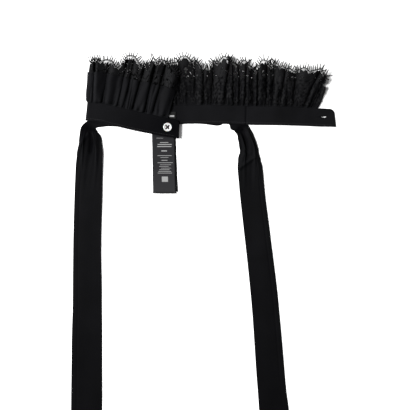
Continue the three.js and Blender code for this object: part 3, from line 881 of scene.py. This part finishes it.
def buildClothFrill():
    places = frillPlaces(clothFrillLook["perPleat"])
    rows = np.array(clothFrillLook["rows"])
    place = places[:, None] + 0 * rows
    # the free edge wanders a little and curls where a pleat is broad
    ragged = 0.5 * np.sin(2 * math.pi * 1.7 * place) + 0.3 * np.sin(2 * math.pi * 3.9 * place)
    front, back = frill["clothTall"]["front"], frill["clothTall"]["back"]
    tall = front + (back - front) * smooth(place - foldPlace)
    share = rows / clothFrillLook["tall"]
    up = frill["seamGap"] + share * tall * endTaper(place) + ragged * np.maximum(share, 0) ** 3
    grid, _ = frillSurface(place, up, frill["apart"] + 0 * up)
    half = np.full(up.shape, clothFrillLook["half"])
    half += 0.12 * smooth((rows - clothFrillLook["tall"] + clothFrillLook["hem"]) / 0.4)
    uv = np.stack([place * clothFrillLook["pleatWide"], up], axis=-1)
    return sheetPiece("clothFrill", grid, half, uv, frillCloth, "collar_cloth", ("cloth_frill",))


clothFrill = buildClothFrill()
print("cloth frill", len(clothFrill.data.polygons), "faces")

# The lace is drawn in its own flat pattern, u along and v up from the seam, and then laid
# over the pleats, with its edge where the edge tables say. missing is the share of its petals
# that are left open, and closed is the share of the sheet that is cloth.
lace = {
    "fullness": 1.6,
    "tall": 56.0,
    "hiddenReach": 38,
    "cell": 2.4,
    "netThread": 0.085,
    "cord": 0.6,
    "innerCord": 0.2,
    "petalEdge": 0.2,
    "petalMiddle": 0.13,
    "petalCord": 0.2,
    "rung": 0.1,
    "rungPitch": 0.9,
    "tie": 0.11,
    "tiePitch": 3.1,
    "lash": 0.74,
    "lashPitch": 2.8,
    "lashLong": (5.4, 7.6),
    "closed": 0.85,
    "fanPitch": 19.0,
    "missing": 0.09,
}
densePlaces = np.linspace(stopPlaces[0], stopPlaces[-1], 1241)
denseU = (np.maximum.accumulate(stopAt("s", densePlaces)) - frillStart) * lace["fullness"]
laceLong = denseU[-1]


def placeAt(u):
    return np.interp(u, denseU, densePlaces)


def edgeStop(layer, x, y):
    # the place along the frill, and the height from its seam, that lie at x and y
    onLayer = densePlaces < foldPlace if layer == "front" else densePlaces > foldPlace + 0.5
    places = densePlaces[onLayer]
    up = 46.0
    for _ in range(8):
        line = frillMiddle(places, up + 0 * places)
        order = np.maximum.accumulate(line[:, 0] if layer == "back" else -line[:, 0])
        place = np.interp(x if layer == "back" else -x, order, places)
        up += y - np.interp(place, places, line[:, 1])
    return place, up


edgeStops = [edgeStop("front", *point) for point in frontEdge]
edgeStops += [(foldPlace + 0.35, 47), (foldPlace + 1, lace["hiddenReach"])]
edgeStops += [edgeStop("back", *point) for point in backEdge]
edgeStops = np.array(sorted(edgeStops))


def laceEdge(u):
    return lace["tall"] + 0 * u


def edgeReach(place):
    shifts = (-0.04, -0.02, 0, 0.02, 0.04)
    return sum(np.interp(place + shift, edgeStops[:, 0], edgeStops[:, 1]) for shift in shifts) / len(shifts)


def onLace(u, v, out=0.0):
    place = np.clip(placeAt(u), stopPlaces[0] + 0.002, stopPlaces[-1] - 0.002)
    up = frill["seamGap"] + v / lace["tall"] * edgeReach(place)
    return frillSurface(place, up, out - frill["apart"])


def netThreads():
    # a hexagonal net: each cell gives three threads
    cell = lace["cell"]
    rowStep = cell * 0.75
    half = cell * math.sqrt(3) / 4
    rows = int((lace["tall"] - 1) / rowStep)
    columns = int(laceLong / (2 * half))
    i, j = np.meshgrid(np.arange(columns), np.arange(rows), indexing="ij")
    u = (2 * i + j % 2 + 1) * half
    v = (j + 0.5) * rowStep + 0.6
    jitter = rng.uniform(-0.12, 0.12, (2, *u.shape))
    u, v = u + jitter[0], v + jitter[1]
    quarter = cell / 4
    ends = []
    for foot, tip in (((0, -1), (0, 1)), ((0, 1), (half, 2)), ((0, 1), (-half, 2))):
        low, high = v + foot[1] * quarter, v + tip[1] * quarter
        ends.append(np.stack([u + foot[0], low, u + tip[0], high], axis=-1).reshape(-1, 4))
    ends = np.vstack(ends)
    return ends[ends[:, 3] < laceEdge(ends[:, 2]) - 0.4]


def buildLaceNet(ends):
    u = np.stack([ends[:, 0], ends[:, 2]], axis=1)
    v = np.stack([ends[:, 1], ends[:, 3]], axis=1)
    lines, normals = onLace(u, v)
    points, faces = threadTubes(lines, normals, lace["netThread"], 3)
    return makePiece("laceNet", points, faces, laceBlack, slot="lace", stands=("lace_frill",))


# One petal or leaf: a plump leaf shape from its foot at (u, v), turned by angle.
def petalGrid(u, v, angle, long, wide, bend=0.0):
    r = np.linspace(0, 1, 7)[:, None]
    w = np.linspace(-1, 1, 5)[None, :]
    half = wide * np.sin(math.pi * np.clip(r, 0.02, 0.985) ** 0.75) ** 0.8
    x = long * r + 0 * w
    y = half * w + bend * long * r**2
    cos, sin = math.cos(angle), math.sin(angle)
    return u + x * cos - y * sin, v + x * sin + y * cos


# There is one fan under each peak of the edge, over a flower; smaller flowers and leaves
# fill the lace between and below them. Places are in the flat pattern, from the fan's middle.
fan = {
    "v": 42.0,
    "turns": (-80, -55, -30, -10, 10, 30, 55, 80),
    "longs": (8.4, 11.0, 11.8, 11.3, 11.3, 11.8, 11.0, 8.4),
    "wide": 1.75,
}
# short leaves side by side under the edge
hem = {"v": 47.6, "step": 2.4, "long": 6.2, "wide": 1.35}
flowers = table("u v long wide petals", [
    (0, 37.5, 4.6, 1.9, 6),
    (10, 41.0, 4.8, 2.0, 5),
    (5, 28.0, 5.0, 2.1, 6),
    (-5, 22.0, 3.6, 1.6, 5),
    (0, 12.5, 4.6, 2.0, 5),
    (10, 6.5, 3.4, 1.5, 5),
])
leaves = table("u v turn long wide bend", [
    (10, 45.5, 90, 7.5, 1.5, 0.0),
    (8.2, 44.5, 70, 5.5, 1.0, 0.2),
    (-8.2, 44.5, 110, 5.5, 1.0, -0.2),
    (4.5, 32, 84, 7.5, 1.9, 0.1),
    (-4.5, 32, 96, 7.5, 1.9, -0.1),
    (9.5, 31, 90, 8.0, 2.0, 0.0),
    (-6, 30, 60, 7.5, 1.5, 0.3),
    (-7, 33, 120, 6.0, 1.3, -0.3),
    (9, 20, 120, 7.0, 1.4, -0.3),
    (6, 15, 40, 6.0, 1.2, 0.3),
    (-6, 8, 60, 7.0, 1.4, 0.3),
    (3, 3, 30, 6.0, 1.2, 0.2),
])


def fanPlaces():
    # the peaks of the edge, and even steps wherever two of them are far apart
    reach = edgeStops[:, 1]
    peaks = [k for k in range(1, len(reach) - 1) if reach[k] >= max(reach[k - 1], reach[k + 1])]
    middles = np.interp(edgeStops[peaks, 0], densePlaces, denseU)
    pitch = lace["fanPitch"]
    kept = [pitch / 2]
    for middle in [*middles, laceLong - pitch / 3]:
        steps = int(round((middle - kept[-1]) / pitch))
        if steps >= 1:
            first = kept[-1]
            kept += [first + (middle - first) * k / steps for k in range(1, steps + 1)]
    return kept


fanMiddles = fanPlaces()


def motifPetals():
    # u, v, turn, length, half width and bend of every petal and leaf
    petals = []
    for middle in fanMiddles:
        for turn, long in zip(fan["turns"], fan["longs"]):
            angle = math.radians(90 - turn)
            u = middle + math.cos(angle)
            v = fan["v"] + math.sin(angle)
            long = long * rng.uniform(0.92, 1.04)
            wide = fan["wide"] * rng.uniform(0.85, 1.05)
            petals.append((u, v, angle, long, wide, rng.uniform(-0.06, 0.06)))
        for flower in flowers:
            first = rng.uniform(0, 2 * math.pi)
            for p in range(flower["petals"]):
                angle = first + 2 * math.pi * p / flower["petals"]
                u = middle + flower["u"] + 1.2 * math.cos(angle)
                v = flower["v"] + 1.2 * math.sin(angle)
                long = flower["long"] * rng.uniform(0.85, 1.1)
                wide = flower["wide"] * rng.uniform(0.85, 1.1)
                petals.append((u, v, angle, long, wide, rng.uniform(-0.12, 0.12)))
        for leaf in leaves:
            u = middle + leaf["u"]
            angle = math.radians(leaf["turn"] + rng.uniform(-6, 6))
            petals.append((u, leaf["v"], angle, leaf["long"], leaf["wide"], leaf["bend"]))
    for u in np.arange(1.5, laceLong, hem["step"]):
        v = hem["v"] + rng.uniform(-0.5, 0.3)
        angle = math.radians(90 + rng.uniform(-14, 14))
        wide = hem["wide"] * rng.uniform(0.8, 1.15)
        petals.append((u, v, angle, hem["long"], wide, rng.uniform(-0.1, 0.1)))
    return [petal for petal in petals if rng.random() > lace["missing"]]


def buildLaceFlowers():
    grids = [petalGrid(*petal) for petal in motifPetals()]
    u = np.stack([grid[0] for grid in grids])
    v = np.stack([grid[1] for grid in grids])
    centre = u.mean(axis=(1, 2))
    room = (laceEdge(u) - v).min(axis=(1, 2))
    kept = (centre > 3) & (centre < laceLong - 3) & (room > 0.8) & (v.min(axis=(1, 2)) > 0.5)
    u, v = u[kept], v[kept]
    middle, _ = onLace(u, v, -rng.uniform(0.02, 0.14, (len(u), 1, 1)) + 0 * u)
    half = np.full(u[0].shape, lace["petalEdge"])
    half[2:-2, 2:-2] = lace["petalMiddle"]
    points, faces = joined([plumpSheet(petal, half)[:2] for petal in middle])
    petals = makePiece("laceFlowers", points, faces, laceBlack, slot="lace")
    # a raised cord round each petal
    ring = [(i, 0) for i in range(7)] + [(6, j) for j in range(1, 5)] + [(i, 4) for i in range(5, -1, -1)]
    rows, columns = np.array(ring).T
    lines, normals = onLace(u[:, rows, columns], v[:, rows, columns], -0.1)
    tubes = threadTubes(lines, normals, lace["petalCord"], 3)
    cords = makePiece("laceCords", *tubes, laceBlack, slot="lace")
    return petals, cords


def buildLaceBorder():
    # a cord along the edge, a finer one inside it and rungs between the two
    parts = []
    u = np.arange(0.3, laceLong - 0.3, 0.5)
    for inset, radius in ((0.0, lace["cord"]), (1.2, lace["innerCord"])):
        lines, normals = onLace(u[None], (laceEdge(u) - inset)[None])
        parts.append(threadTubes(lines, normals, radius, 5))
    rungs = np.arange(0.6, laceLong - 0.6, lace["rungPitch"])
    uu = np.stack([rungs, rungs + 0.2, rungs + 0.4], axis=1)
    vv = laceEdge(rungs)[:, None] - np.array([1.0, 0.5, 0.0])
    parts.append(threadTubes(*onLace(uu, vv), lace["rung"], 3))
    # ties from the motifs to the edge
    ties = np.arange(1.1, laceLong - 1.1, lace["tiePitch"])
    uu = np.stack([ties - 0.5, ties, ties + 0.1], axis=1)
    vv = laceEdge(ties)[:, None] - np.array([3.8, 2.0, 0.4])
    parts.append(threadTubes(*onLace(uu, vv), lace["tie"], 3))
    return makePiece("laceBorder", *joined(parts), laceBlack, slot="lace")


def buildLaceLashes():
    # nearly straight lashes that stand about square to the edge all along it
    u = np.linspace(0.6, laceLong - 0.6, 9000)
    edge, _ = onLace(u, laceEdge(u))
    inner, _ = onLace(u, laceEdge(u) - 4)
    window = np.ones(101) / 101
    soft = np.stack([np.convolve(edge[:, k], window, "same") for k in range(2)], axis=1)
    heading = unit(np.gradient(soft, axis=0))
    square = np.stack([-heading[:, 1], heading[:, 0]], axis=1)
    outwards = edge[:, :2] - inner[:, :2]
    square *= np.sign((square * outwards).sum(-1, keepdims=True))
    square = unit(square + 0.6 * unit(outwards))
    run = runAlong(edge[:, :2])
    feet = np.arange(0.8, run[-1] - 0.8, lace["lashPitch"])
    feet = feet + rng.uniform(-0.35, 0.35, len(feet))
    spread = rng.normal(0, 0.06, len(feet))
    at = [np.interp(feet, run, values) for values in (*edge.T, *square.T)]
    foot = np.stack(at[:3], axis=1)
    turn = np.arctan2(at[4], at[3]) + spread
    long = rng.uniform(*lace["lashLong"], len(feet))
    t = np.linspace(0, 1, 5)[None]
    bow = turn[:, None] + rng.normal(0, 0.08, len(feet))[:, None] * t
    lines = np.stack(
        [
            foot[:, :1] + long[:, None] * t * np.cos(bow),
            foot[:, 1:2] + long[:, None] * t * np.sin(bow),
            np.maximum(foot[:, 2:3] - 0.12 * long[:, None] * t, 0.4),
        ],
        axis=-1,
    )
    radius = lace["lash"] * (1.05 - 0.4 * t) * np.ones((len(feet), 1))
    upwards = np.broadcast_to((0.0, 0.0, 1.0), lines.shape)
    return makePiece("laceLashes", *threadTubes(lines, upwards, radius, 3), laceBlack, slot="lace")


laceNet = buildLaceNet(netThreads())
laceFlowers, laceCords = buildLaceFlowers()
laceBorder = buildLaceBorder()
laceLashes = buildLaceLashes()
for piece in (laceNet, laceFlowers, laceCords, laceBorder, laceLashes):
    print(piece.name, len(piece.data.polygons), "faces")

# the ribbon: x, y: its middle line. wide: its width as it lies. pleats: depth of its two
# lengthwise gathers. bed: height of its underside.
ribbonRows = table("x y wide pleats bed", [
    (-142.2, -253.5, 37.4, 0, 0),
    (-141.8, -174, 36.6, 0, 0),
    (-141.3, -110, 34.8, 0, 0),
    (-141.4, -50, 33.6, 0, 0.4),
    (-140.3, 0, 33.4, 0, 1.0),
    (-139.1, 40, 32.6, 0.6, 1.6),
    (-138.6, 60, 31.4, 1.8, 2.0),
    (-138.5, 77, 27.6, 3.2, 1.4),
    (-139.2, 89, 21.6, 0.5, 0),
    (-134.8, 97.4, 13.5, 0, 0),
    (-122.0, 102.6, 17.5, 0, 0),
    (-98, 104, 19.5, 0, 0),
    (-50, 107, 20, 0, 0),
    (-10, 107.8, 20.6, 0, 0),
    (14, 106.4, 22.6, 0, 0),
    (24, 106, 16.8, 0, 0),
    (32, 103, 14.5, 0, 0),
    (38, 98.8, 21.5, 0, 0),
    (42.6, 93.8, 18, 0, 0),
    (46.4, 88, 17.6, 0.6, 0),
    (49.2, 81, 19.6, 2.8, 0.3),
    (52.4, 71, 21.6, 3.4, 0.7),
    (53.7, 64, 22.6, 2.8, 0.9),
    (53.5, 54, 27.2, 1.8, 0.9),
    (54.2, 42, 30.0, 0.8, 0.7),
    (57.4, 8, 30.2, 0, 0.3),
    (63.4, -42, 31, 0, 0),
    (71.6, -114, 32.4, 0, 0),
    (79.2, -210, 34, 0, 0),
    (83.4, -253.5, 35.8, 0, 0),
])
# folds pressed into the ties, each a ridge, or a dent where high is negative, from one
# point to another of the layout
ribbonFolds = table("from to high wide", [
    ((38.5, 91.5), (52.0, 90.0), 1.1, 1.7),
    ((46.6, 89.2), (48.8, 64.0), -2.4, 1.8),
    ((41.5, 44.4), (58.5, 56.8), 2.2, 2.0),
    ((-136.8, 88.8), (-137.4, 64.0), -2.2, 1.8),
    ((-149.5, 72.5), (-140.0, 85.5), 1.3, 1.6),
    ((-160.0, -44.0), (-124.0, -45.5), 0.5, 1.6),
    ((-160.0, -135.0), (-124.0, -134.0), 0.5, 1.6),
    ((44.0, -62.0), (86.0, -58.0), 0.5, 1.6),
    ((50.0, -138.0), (94.0, -136.0), 0.5, 1.6),
])
ribbon = {
    "hemAt": 0.82,
    "half": 0.42,
    "lowest": 0.45,
    "flatWide": 36,
    "hiddenFrom": 335,
    "perRow": 14,
    "across": 45,
    "rounding": 0.8,
    "ripple": 0.35,
}


def buildRibbon():
    at, middle = curveThrough([(row["x"], row["y"], 0) for row in ribbonRows], ribbon["perRow"])
    heading = unit(np.gradient(middle, axis=0))
    sideways = np.stack([-heading[:, 1], heading[:, 0], 0 * at], axis=1)
    wide, pleats, bed = (column(ribbonRows, key, at)[:, None] for key in ("wide", "pleats", "bed"))
    t = np.linspace(0, 1, ribbon["across"])
    t = (0.5 - 0.5 * np.cos(math.pi * t)) * 0.35 + t * 0.65
    far = runAlong(middle)[:, None]
    # the gathers roll sideways as they rise, so the cloth keeps some of its width in them
    roll = pleats * 0.75 * np.sin(4 * math.pi * t + 0.4 * np.sin(far / 19))
    fine = 0.22 * pleats * np.sin(2 * math.pi * (5.2 * t + far / 60))
    ripple = ribbon["ripple"] * (1 + np.sin(far / 31 + 3 * t) * np.cos(far / 53 - 4.4 * t))
    ripple = ripple * smooth(np.minimum(far, far[-1] - far) / 20)
    # 1 in the stretch behind the band, and 0 in the ties
    hidden = smooth((far - ribbon["hiddenFrom"]) / 12) * smooth((far[-1] - ribbon["hiddenFrom"] - far) / 12)
    x = wide * (t - 0.5) + roll * np.minimum(1, wide / 25)
    z = bed + 0.5 + pleats * (1 - np.cos(4 * math.pi * t)) / 2
    z = z + np.maximum(fine, -pleats * 0.3) + ripple * (1 - hidden)
    grid = middle[:, None] + sideways[:, None] * x[..., None]
    for fold in ribbonFolds:
        first, last = np.array(fold["from"]), np.array(fold["to"])
        span = last - first
        share = np.clip(((grid[..., :2] - first) @ span) / (span @ span), 0, 1)
        away = np.linalg.norm(grid[..., :2] - first - share[..., None] * span, axis=-1)
        z = z + fold["high"] * np.exp(-((away / fold["wide"]) ** 2))
    # the pressed line of the hem along one side
    z = z - 0.3 * np.exp(-(((t - ribbon["hemAt"]) * wide / 0.7) ** 2)) * (1 - hidden)
    grid[..., 2] = np.maximum(z, ribbon["lowest"])
    edge = np.minimum(t, 1 - t) * wide
    end = np.minimum(far, far[-1] - far) + 0 * t
    half = rimmedThickness(np.minimum(edge, end + 0.01), ribbon["half"], ribbon["rounding"])
    uv = np.stack([far + 0 * t, t * ribbon["flatWide"] + 0 * far], axis=-1)
    grid, half, uv = grid[:, ::-1], half[:, ::-1], uv[:, ::-1]
    piece = sheetPiece("tieRibbon", grid, half, uv, ribbonCloth, "ribbon_cloth", ("tie_ribbon",))
    return piece, float(far[-1, 0])


tieRibbon, ribbonLong = buildRibbon()
print("ribbon", round(ribbonLong), "mm long")

# the labels

satin = {
    "dark": (0.002, 0.002, 0.003),
    "light": (0.011, 0.011, 0.012),
    "bar": (0.20, 0.20, 0.20),
    "roughness": 0.6,
    "gloss": 0.1,
    "threadPitch": 0.45,
    "wide": 27,
}
# each bar's low, high, left and right edge on the care label, from its lower left corner
careBars = [
    (14, 20.3, 10.8, 18), (24.2, 24.8, 6, 23), (26.2, 26.8, 7, 22), (28.2, 28.8, 8, 20),
    (30.2, 30.7, 10, 22), (32.2, 32.7, 8, 19), (34.2, 34.7, 9, 22), (36.6, 37.2, 6, 24),
    (39.4, 40.2, 10.8, 17.8), (42.9, 43.4, 9.6, 19), (45.1, 45.7, 6.2, 22.8), (50.4, 51.7, 10.8, 17.4),
    (55.8, 56.8, 6, 22.8), (58.3, 59.3, 6.6, 23.2), (60.7, 61.5, 9.4, 19.2), (66.2, 66.6, 5.2, 13.2),
]
neckBars = [(2.4, 4.4, 26.0, 33.0)]
careSatin = labelSatin("care label satin", satin, careBars)
shaded = dict(satin, dark=(0.002, 0.002, 0.002), light=(0.004, 0.004, 0.004))
underSatin = labelSatin("under leaf satin", shaded, [])
neckSatin = labelSatin("neck label satin", dict(shaded, wide=35.4, bar=(0.28, 0.28, 0.28)), neckBars)
topLeaf = table("y left right z", [
    (102.4, -64.2, -36.6, 5.05),
    (94.4, -64.0, -36.5, 5.05),
    (88.4, -63.8, -36.4, 3.55),
    (79.4, -63.6, -36.2, 2.15),
    (66, -63.3, -35.9, 1.85),
    (40, -62.9, -35.5, 1.85),
    (13.8, -62.4, -34.8, 1.85),
])
underLeaf = table("y left right z", [
    (102.4, -63.8, -36.4, 3.7),
    (94.4, -63.4, -36.1, 3.7),
    (87.8, -63, -35.7, 2.0),
    (78.8, -62.4, -35.1, 0.7),
    (66, -61.8, -34.6, 0.5),
    (40, -61.0, -33.6, 0.5),
    (15.8, -60.2, -32.4, 0.5),
])
labelSheet = {"half": 0.28, "rounding": 0.5, "across": 28, "perRow": 10}


def labelGrid(rows, ripple):
    at = np.arange((len(rows) - 1) * labelSheet["perRow"] + 1) / labelSheet["perRow"]
    y = np.interp(at, np.arange(len(rows)), [row["y"] for row in rows])
    left, right, z = (column(rows, key, at)[:, None] for key in ("left", "right", "z"))
    t = np.linspace(0, 1, labelSheet["across"])
    x = left + (right - left) * t
    free = smooth((88 - y) / 30)[:, None]
    z = z + ripple * free * (np.sin(y / 9.0)[:, None] * np.sin(2.6 * t) + 0.6 * (2 * t - 1) ** 2)
    grid = np.stack([x, y[:, None] + 0 * t, z], axis=-1)
    edge = np.minimum(t, 1 - t) * satin["wide"] + 0 * y[:, None]
    end = np.minimum(y[0] - y, y - y[-1])[:, None] + 0 * t
    half = rimmedThickness(np.minimum(edge, end), labelSheet["half"], labelSheet["rounding"])
    uv = np.stack([t * satin["wide"] + 0 * y[:, None], (y - y[-1])[:, None] + 0 * t], axis=-1)
    return grid, half, uv


def buildLabel(name, rows, ripple, material, node):
    grid, half, uv = labelGrid(rows, ripple)
    return sheetPiece(name, grid, half, uv, material, "label_satin", (node,))


neckSheet = {"left": -70.0, "right": -34.6, "low": 103.2, "high": 111.4, "z": 3.55, "half": 0.25}


def buildNeckLabel():
    left, right, low, high = (neckSheet[key] for key in ("left", "right", "low", "high"))
    x = np.linspace(left, right, 36)[:, None]
    y = np.linspace(low, high, 12)[None]
    z = neckSheet["z"] + 0.12 * np.sin(x / 5) + 0 * y
    grid = np.stack([x + 0 * y, y + 0 * x, z], axis=-1)
    edge = np.minimum(np.minimum(x - left, right - x), np.minimum(y - low, high - y))
    half = rimmedThickness(edge, neckSheet["half"], labelSheet["rounding"])
    uv = np.stack([x - left + 0 * y, y - low + 0 * x], axis=-1)
    return sheetPiece("neckLabel", grid, half, uv, neckSatin, "label_satin", ("neck_label",))


careTop = buildLabel("careLabelTop", topLeaf, 0.25, careSatin, "care_label_top_leaf")
careUnder = buildLabel("careLabelUnder", underLeaf, 0.0, underSatin, "care_label_under_leaf")
neckLabel = buildNeckLabel()

# the button

buttonShape = {
    "radius": 5.15,
    "thick": 2.2,
    "dish": 0.68,
    "hole": 1.0,
    "spacing": 3.3,
    "sides": 72,
    "thread": 0.33,
    "threadPlaces": (-0.66, -0.22, 0.22, 0.66),
}


def buildButton():
    radius, thick = buttonShape["radius"], buttonShape["thick"]
    profile = [
        (0, 0.15), (3.4, 0.15), (4.3, 0.3), (4.9, 0.75), (radius, 1.25), (radius - 0.08, 1.7),
        (radius - 0.35, thick - 0.1), (radius - 0.75, thick), (radius - 1.15, thick - 0.12),
        (radius - 1.5, thick - 0.55), (radius - 1.9, thick - buttonShape["dish"]),
        (1.6, thick - 0.72), (0, thick - 0.72),
    ]
    turns = np.arange(buttonShape["sides"]) * 2 * math.pi / buttonShape["sides"]
    r, z = np.array(profile[1:-1]).T
    x = buttonSpot[0] + np.outer(r, np.cos(turns))
    y = buttonSpot[1] + np.outer(r, np.sin(turns))
    rings = np.stack([x, y, buttonSeat + z[:, None] + 0 * x], axis=-1)
    count, sides = x.shape
    poles = [(*buttonSpot, buttonSeat + profile[0][1]), (*buttonSpot, buttonSeat + profile[-1][1])]
    points = np.vstack([rings.reshape(-1, 3), poles])
    faces = []
    for k in range(count - 1):
        for a in range(sides):
            b = (a + 1) % sides
            faces.append([k * sides + a, k * sides + b, (k + 1) * sides + b, (k + 1) * sides + a])
    low, high = count * sides, count * sides + 1
    for a in range(sides):
        b = (a + 1) % sides
        faces.append([low, b, a])
        faces.append([high, (count - 1) * sides + a, (count - 1) * sides + b])
    mesh = layoutMesh("button", points, faces)
    mesh.materials.append(buttonPearl)
    piece = linked("shirtButton", mesh)
    drills = []
    gap = buttonShape["spacing"] / 2
    for i, j in ((1, 1), (-1, 1), (-1, -1), (1, -1)):
        centre = np.array([buttonSpot[0] + i * gap, buttonSpot[1] + j * gap, buttonSeat + 1])
        bpy.ops.mesh.primitive_cylinder_add(
            vertices=24,
            radius=buttonShape["hole"] * mm,
            depth=6 * mm,
            location=(centre + layoutShift) * mm,
        )
        drills.append(bpy.context.object)
    cutAway(piece, drills)
    piece.data.shade_smooth()
    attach(piece, "root")
    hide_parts("button")
    return piece


def buildButtonThread():
    # four turns of black thread in a cross between the holes
    parts = []
    gap = buttonShape["spacing"] / 2
    surface = buttonSeat + buttonShape["thick"] - buttonShape["dish"]
    t = np.linspace(0, 1, 12)
    rise = 0.75 * np.sin(math.pi * t) ** 0.6 - 0.35
    reach = gap * math.sqrt(2) * (2 * t - 1)
    upwards = np.tile([0.0, 0, 1], (1, len(t), 1))
    for k, (i, j) in enumerate(((1, 1), (-1, 1))):
        heading = np.array([i, j]) / math.sqrt(2)
        for offset in buttonShape["threadPlaces"]:
            x = buttonSpot[0] + heading[0] * reach - heading[1] * offset
            y = buttonSpot[1] + heading[1] * reach + heading[0] * offset
            line = np.column_stack([x, y, surface + rise * (0.8 + 0.45 * k)])
            parts.append(threadTubes(line[None], upwards, buttonShape["thread"], 6))
    return makePiece("buttonThread", *joined(parts), sewingThread, slot="collar_cloth")


shirtButton = buildButton()
buttonThread = buildButtonThread()
print("labels and button")

# what the lace was cut to
# The lace's cloth is its close flowers and leaves; the net that holds them is nearly all
# holes. The cut is lower between two scallops, and a share of it is open.
laceFlat = (laceLong * mm, lace["tall"] * mm)
meanReach = edgeReach(placeAt(np.linspace(0, laceLong, 900))).mean()
laceArea = float(laceFlat[0] * meanReach * mm * lace["closed"])

# floor, camera and light

studio = {
    "frameWide": 492.0,
    "cameraHigh": 3.0,
    "floorTone": 0.92,
    "worldStrength": 0.28,
    "keyPower": 98.0,
    "keySize": 0.8,
    "keyPlace": (-1.12, 0.34, 1.95),
    "rakePower": 60.0,
    "rakePlace": (-2.0, 0.5, 0.75),
}


def buildStudio():
    material, start, surface = startMaterial("studio floor", {"Roughness": 0.9, "Specular IOR Level": 0.1})
    body = start.node("ShaderNodeTexCoord", output=3)
    grain = start.node("ShaderNodeTexNoise", None, {"Vector": body, "Scale": 40.0})
    tone = studio["floorTone"]
    plug(grain.mixed((tone - 0.01,) * 3, (tone,) * 3), surface, "Base Color")
    mesh = bpy.data.meshes.new("floor")
    mesh.from_pydata([(-4, -4, 0), (4, -4, 0), (4, 4, 0), (-4, 4, 0)], [], [(0, 1, 2, 3)])
    mesh.materials.append(material)
    floor = linked("floor", mesh)

    camera = bpy.data.cameras.new("camera")
    camera.sensor_width = 36.0
    camera.lens = 36.0 * studio["cameraHigh"] / (studio["frameWide"] * mm)
    camera.clip_end = 20
    eye = linked("camera", camera)
    eye.location = (layoutShift[0] * mm, layoutShift[1] * mm, studio["cameraHigh"])
    bpy.context.scene.camera = eye

    world = bpy.data.worlds.new("studio")
    world.use_nodes = True
    sky = world.node_tree.nodes["Background"].inputs
    sky["Strength"].default_value = studio["worldStrength"]
    sky["Color"].default_value = (1, 1, 1, 1)
    bpy.context.scene.world = world

    for name in ("key", "rake"):
        light = bpy.data.lights.new(name, "AREA")
        light.energy = studio[name + "Power"]
        light.size = studio["keySize"]
        lamp = linked(name, light)
        lamp.location = studio[name + "Place"]
        lamp.rotation_euler = (-lamp.location).to_track_quat("-Z", "Y").to_euler()


buildStudio()
bpy.context.scene.view_settings.view_transform = "Standard"
print("scene ready")
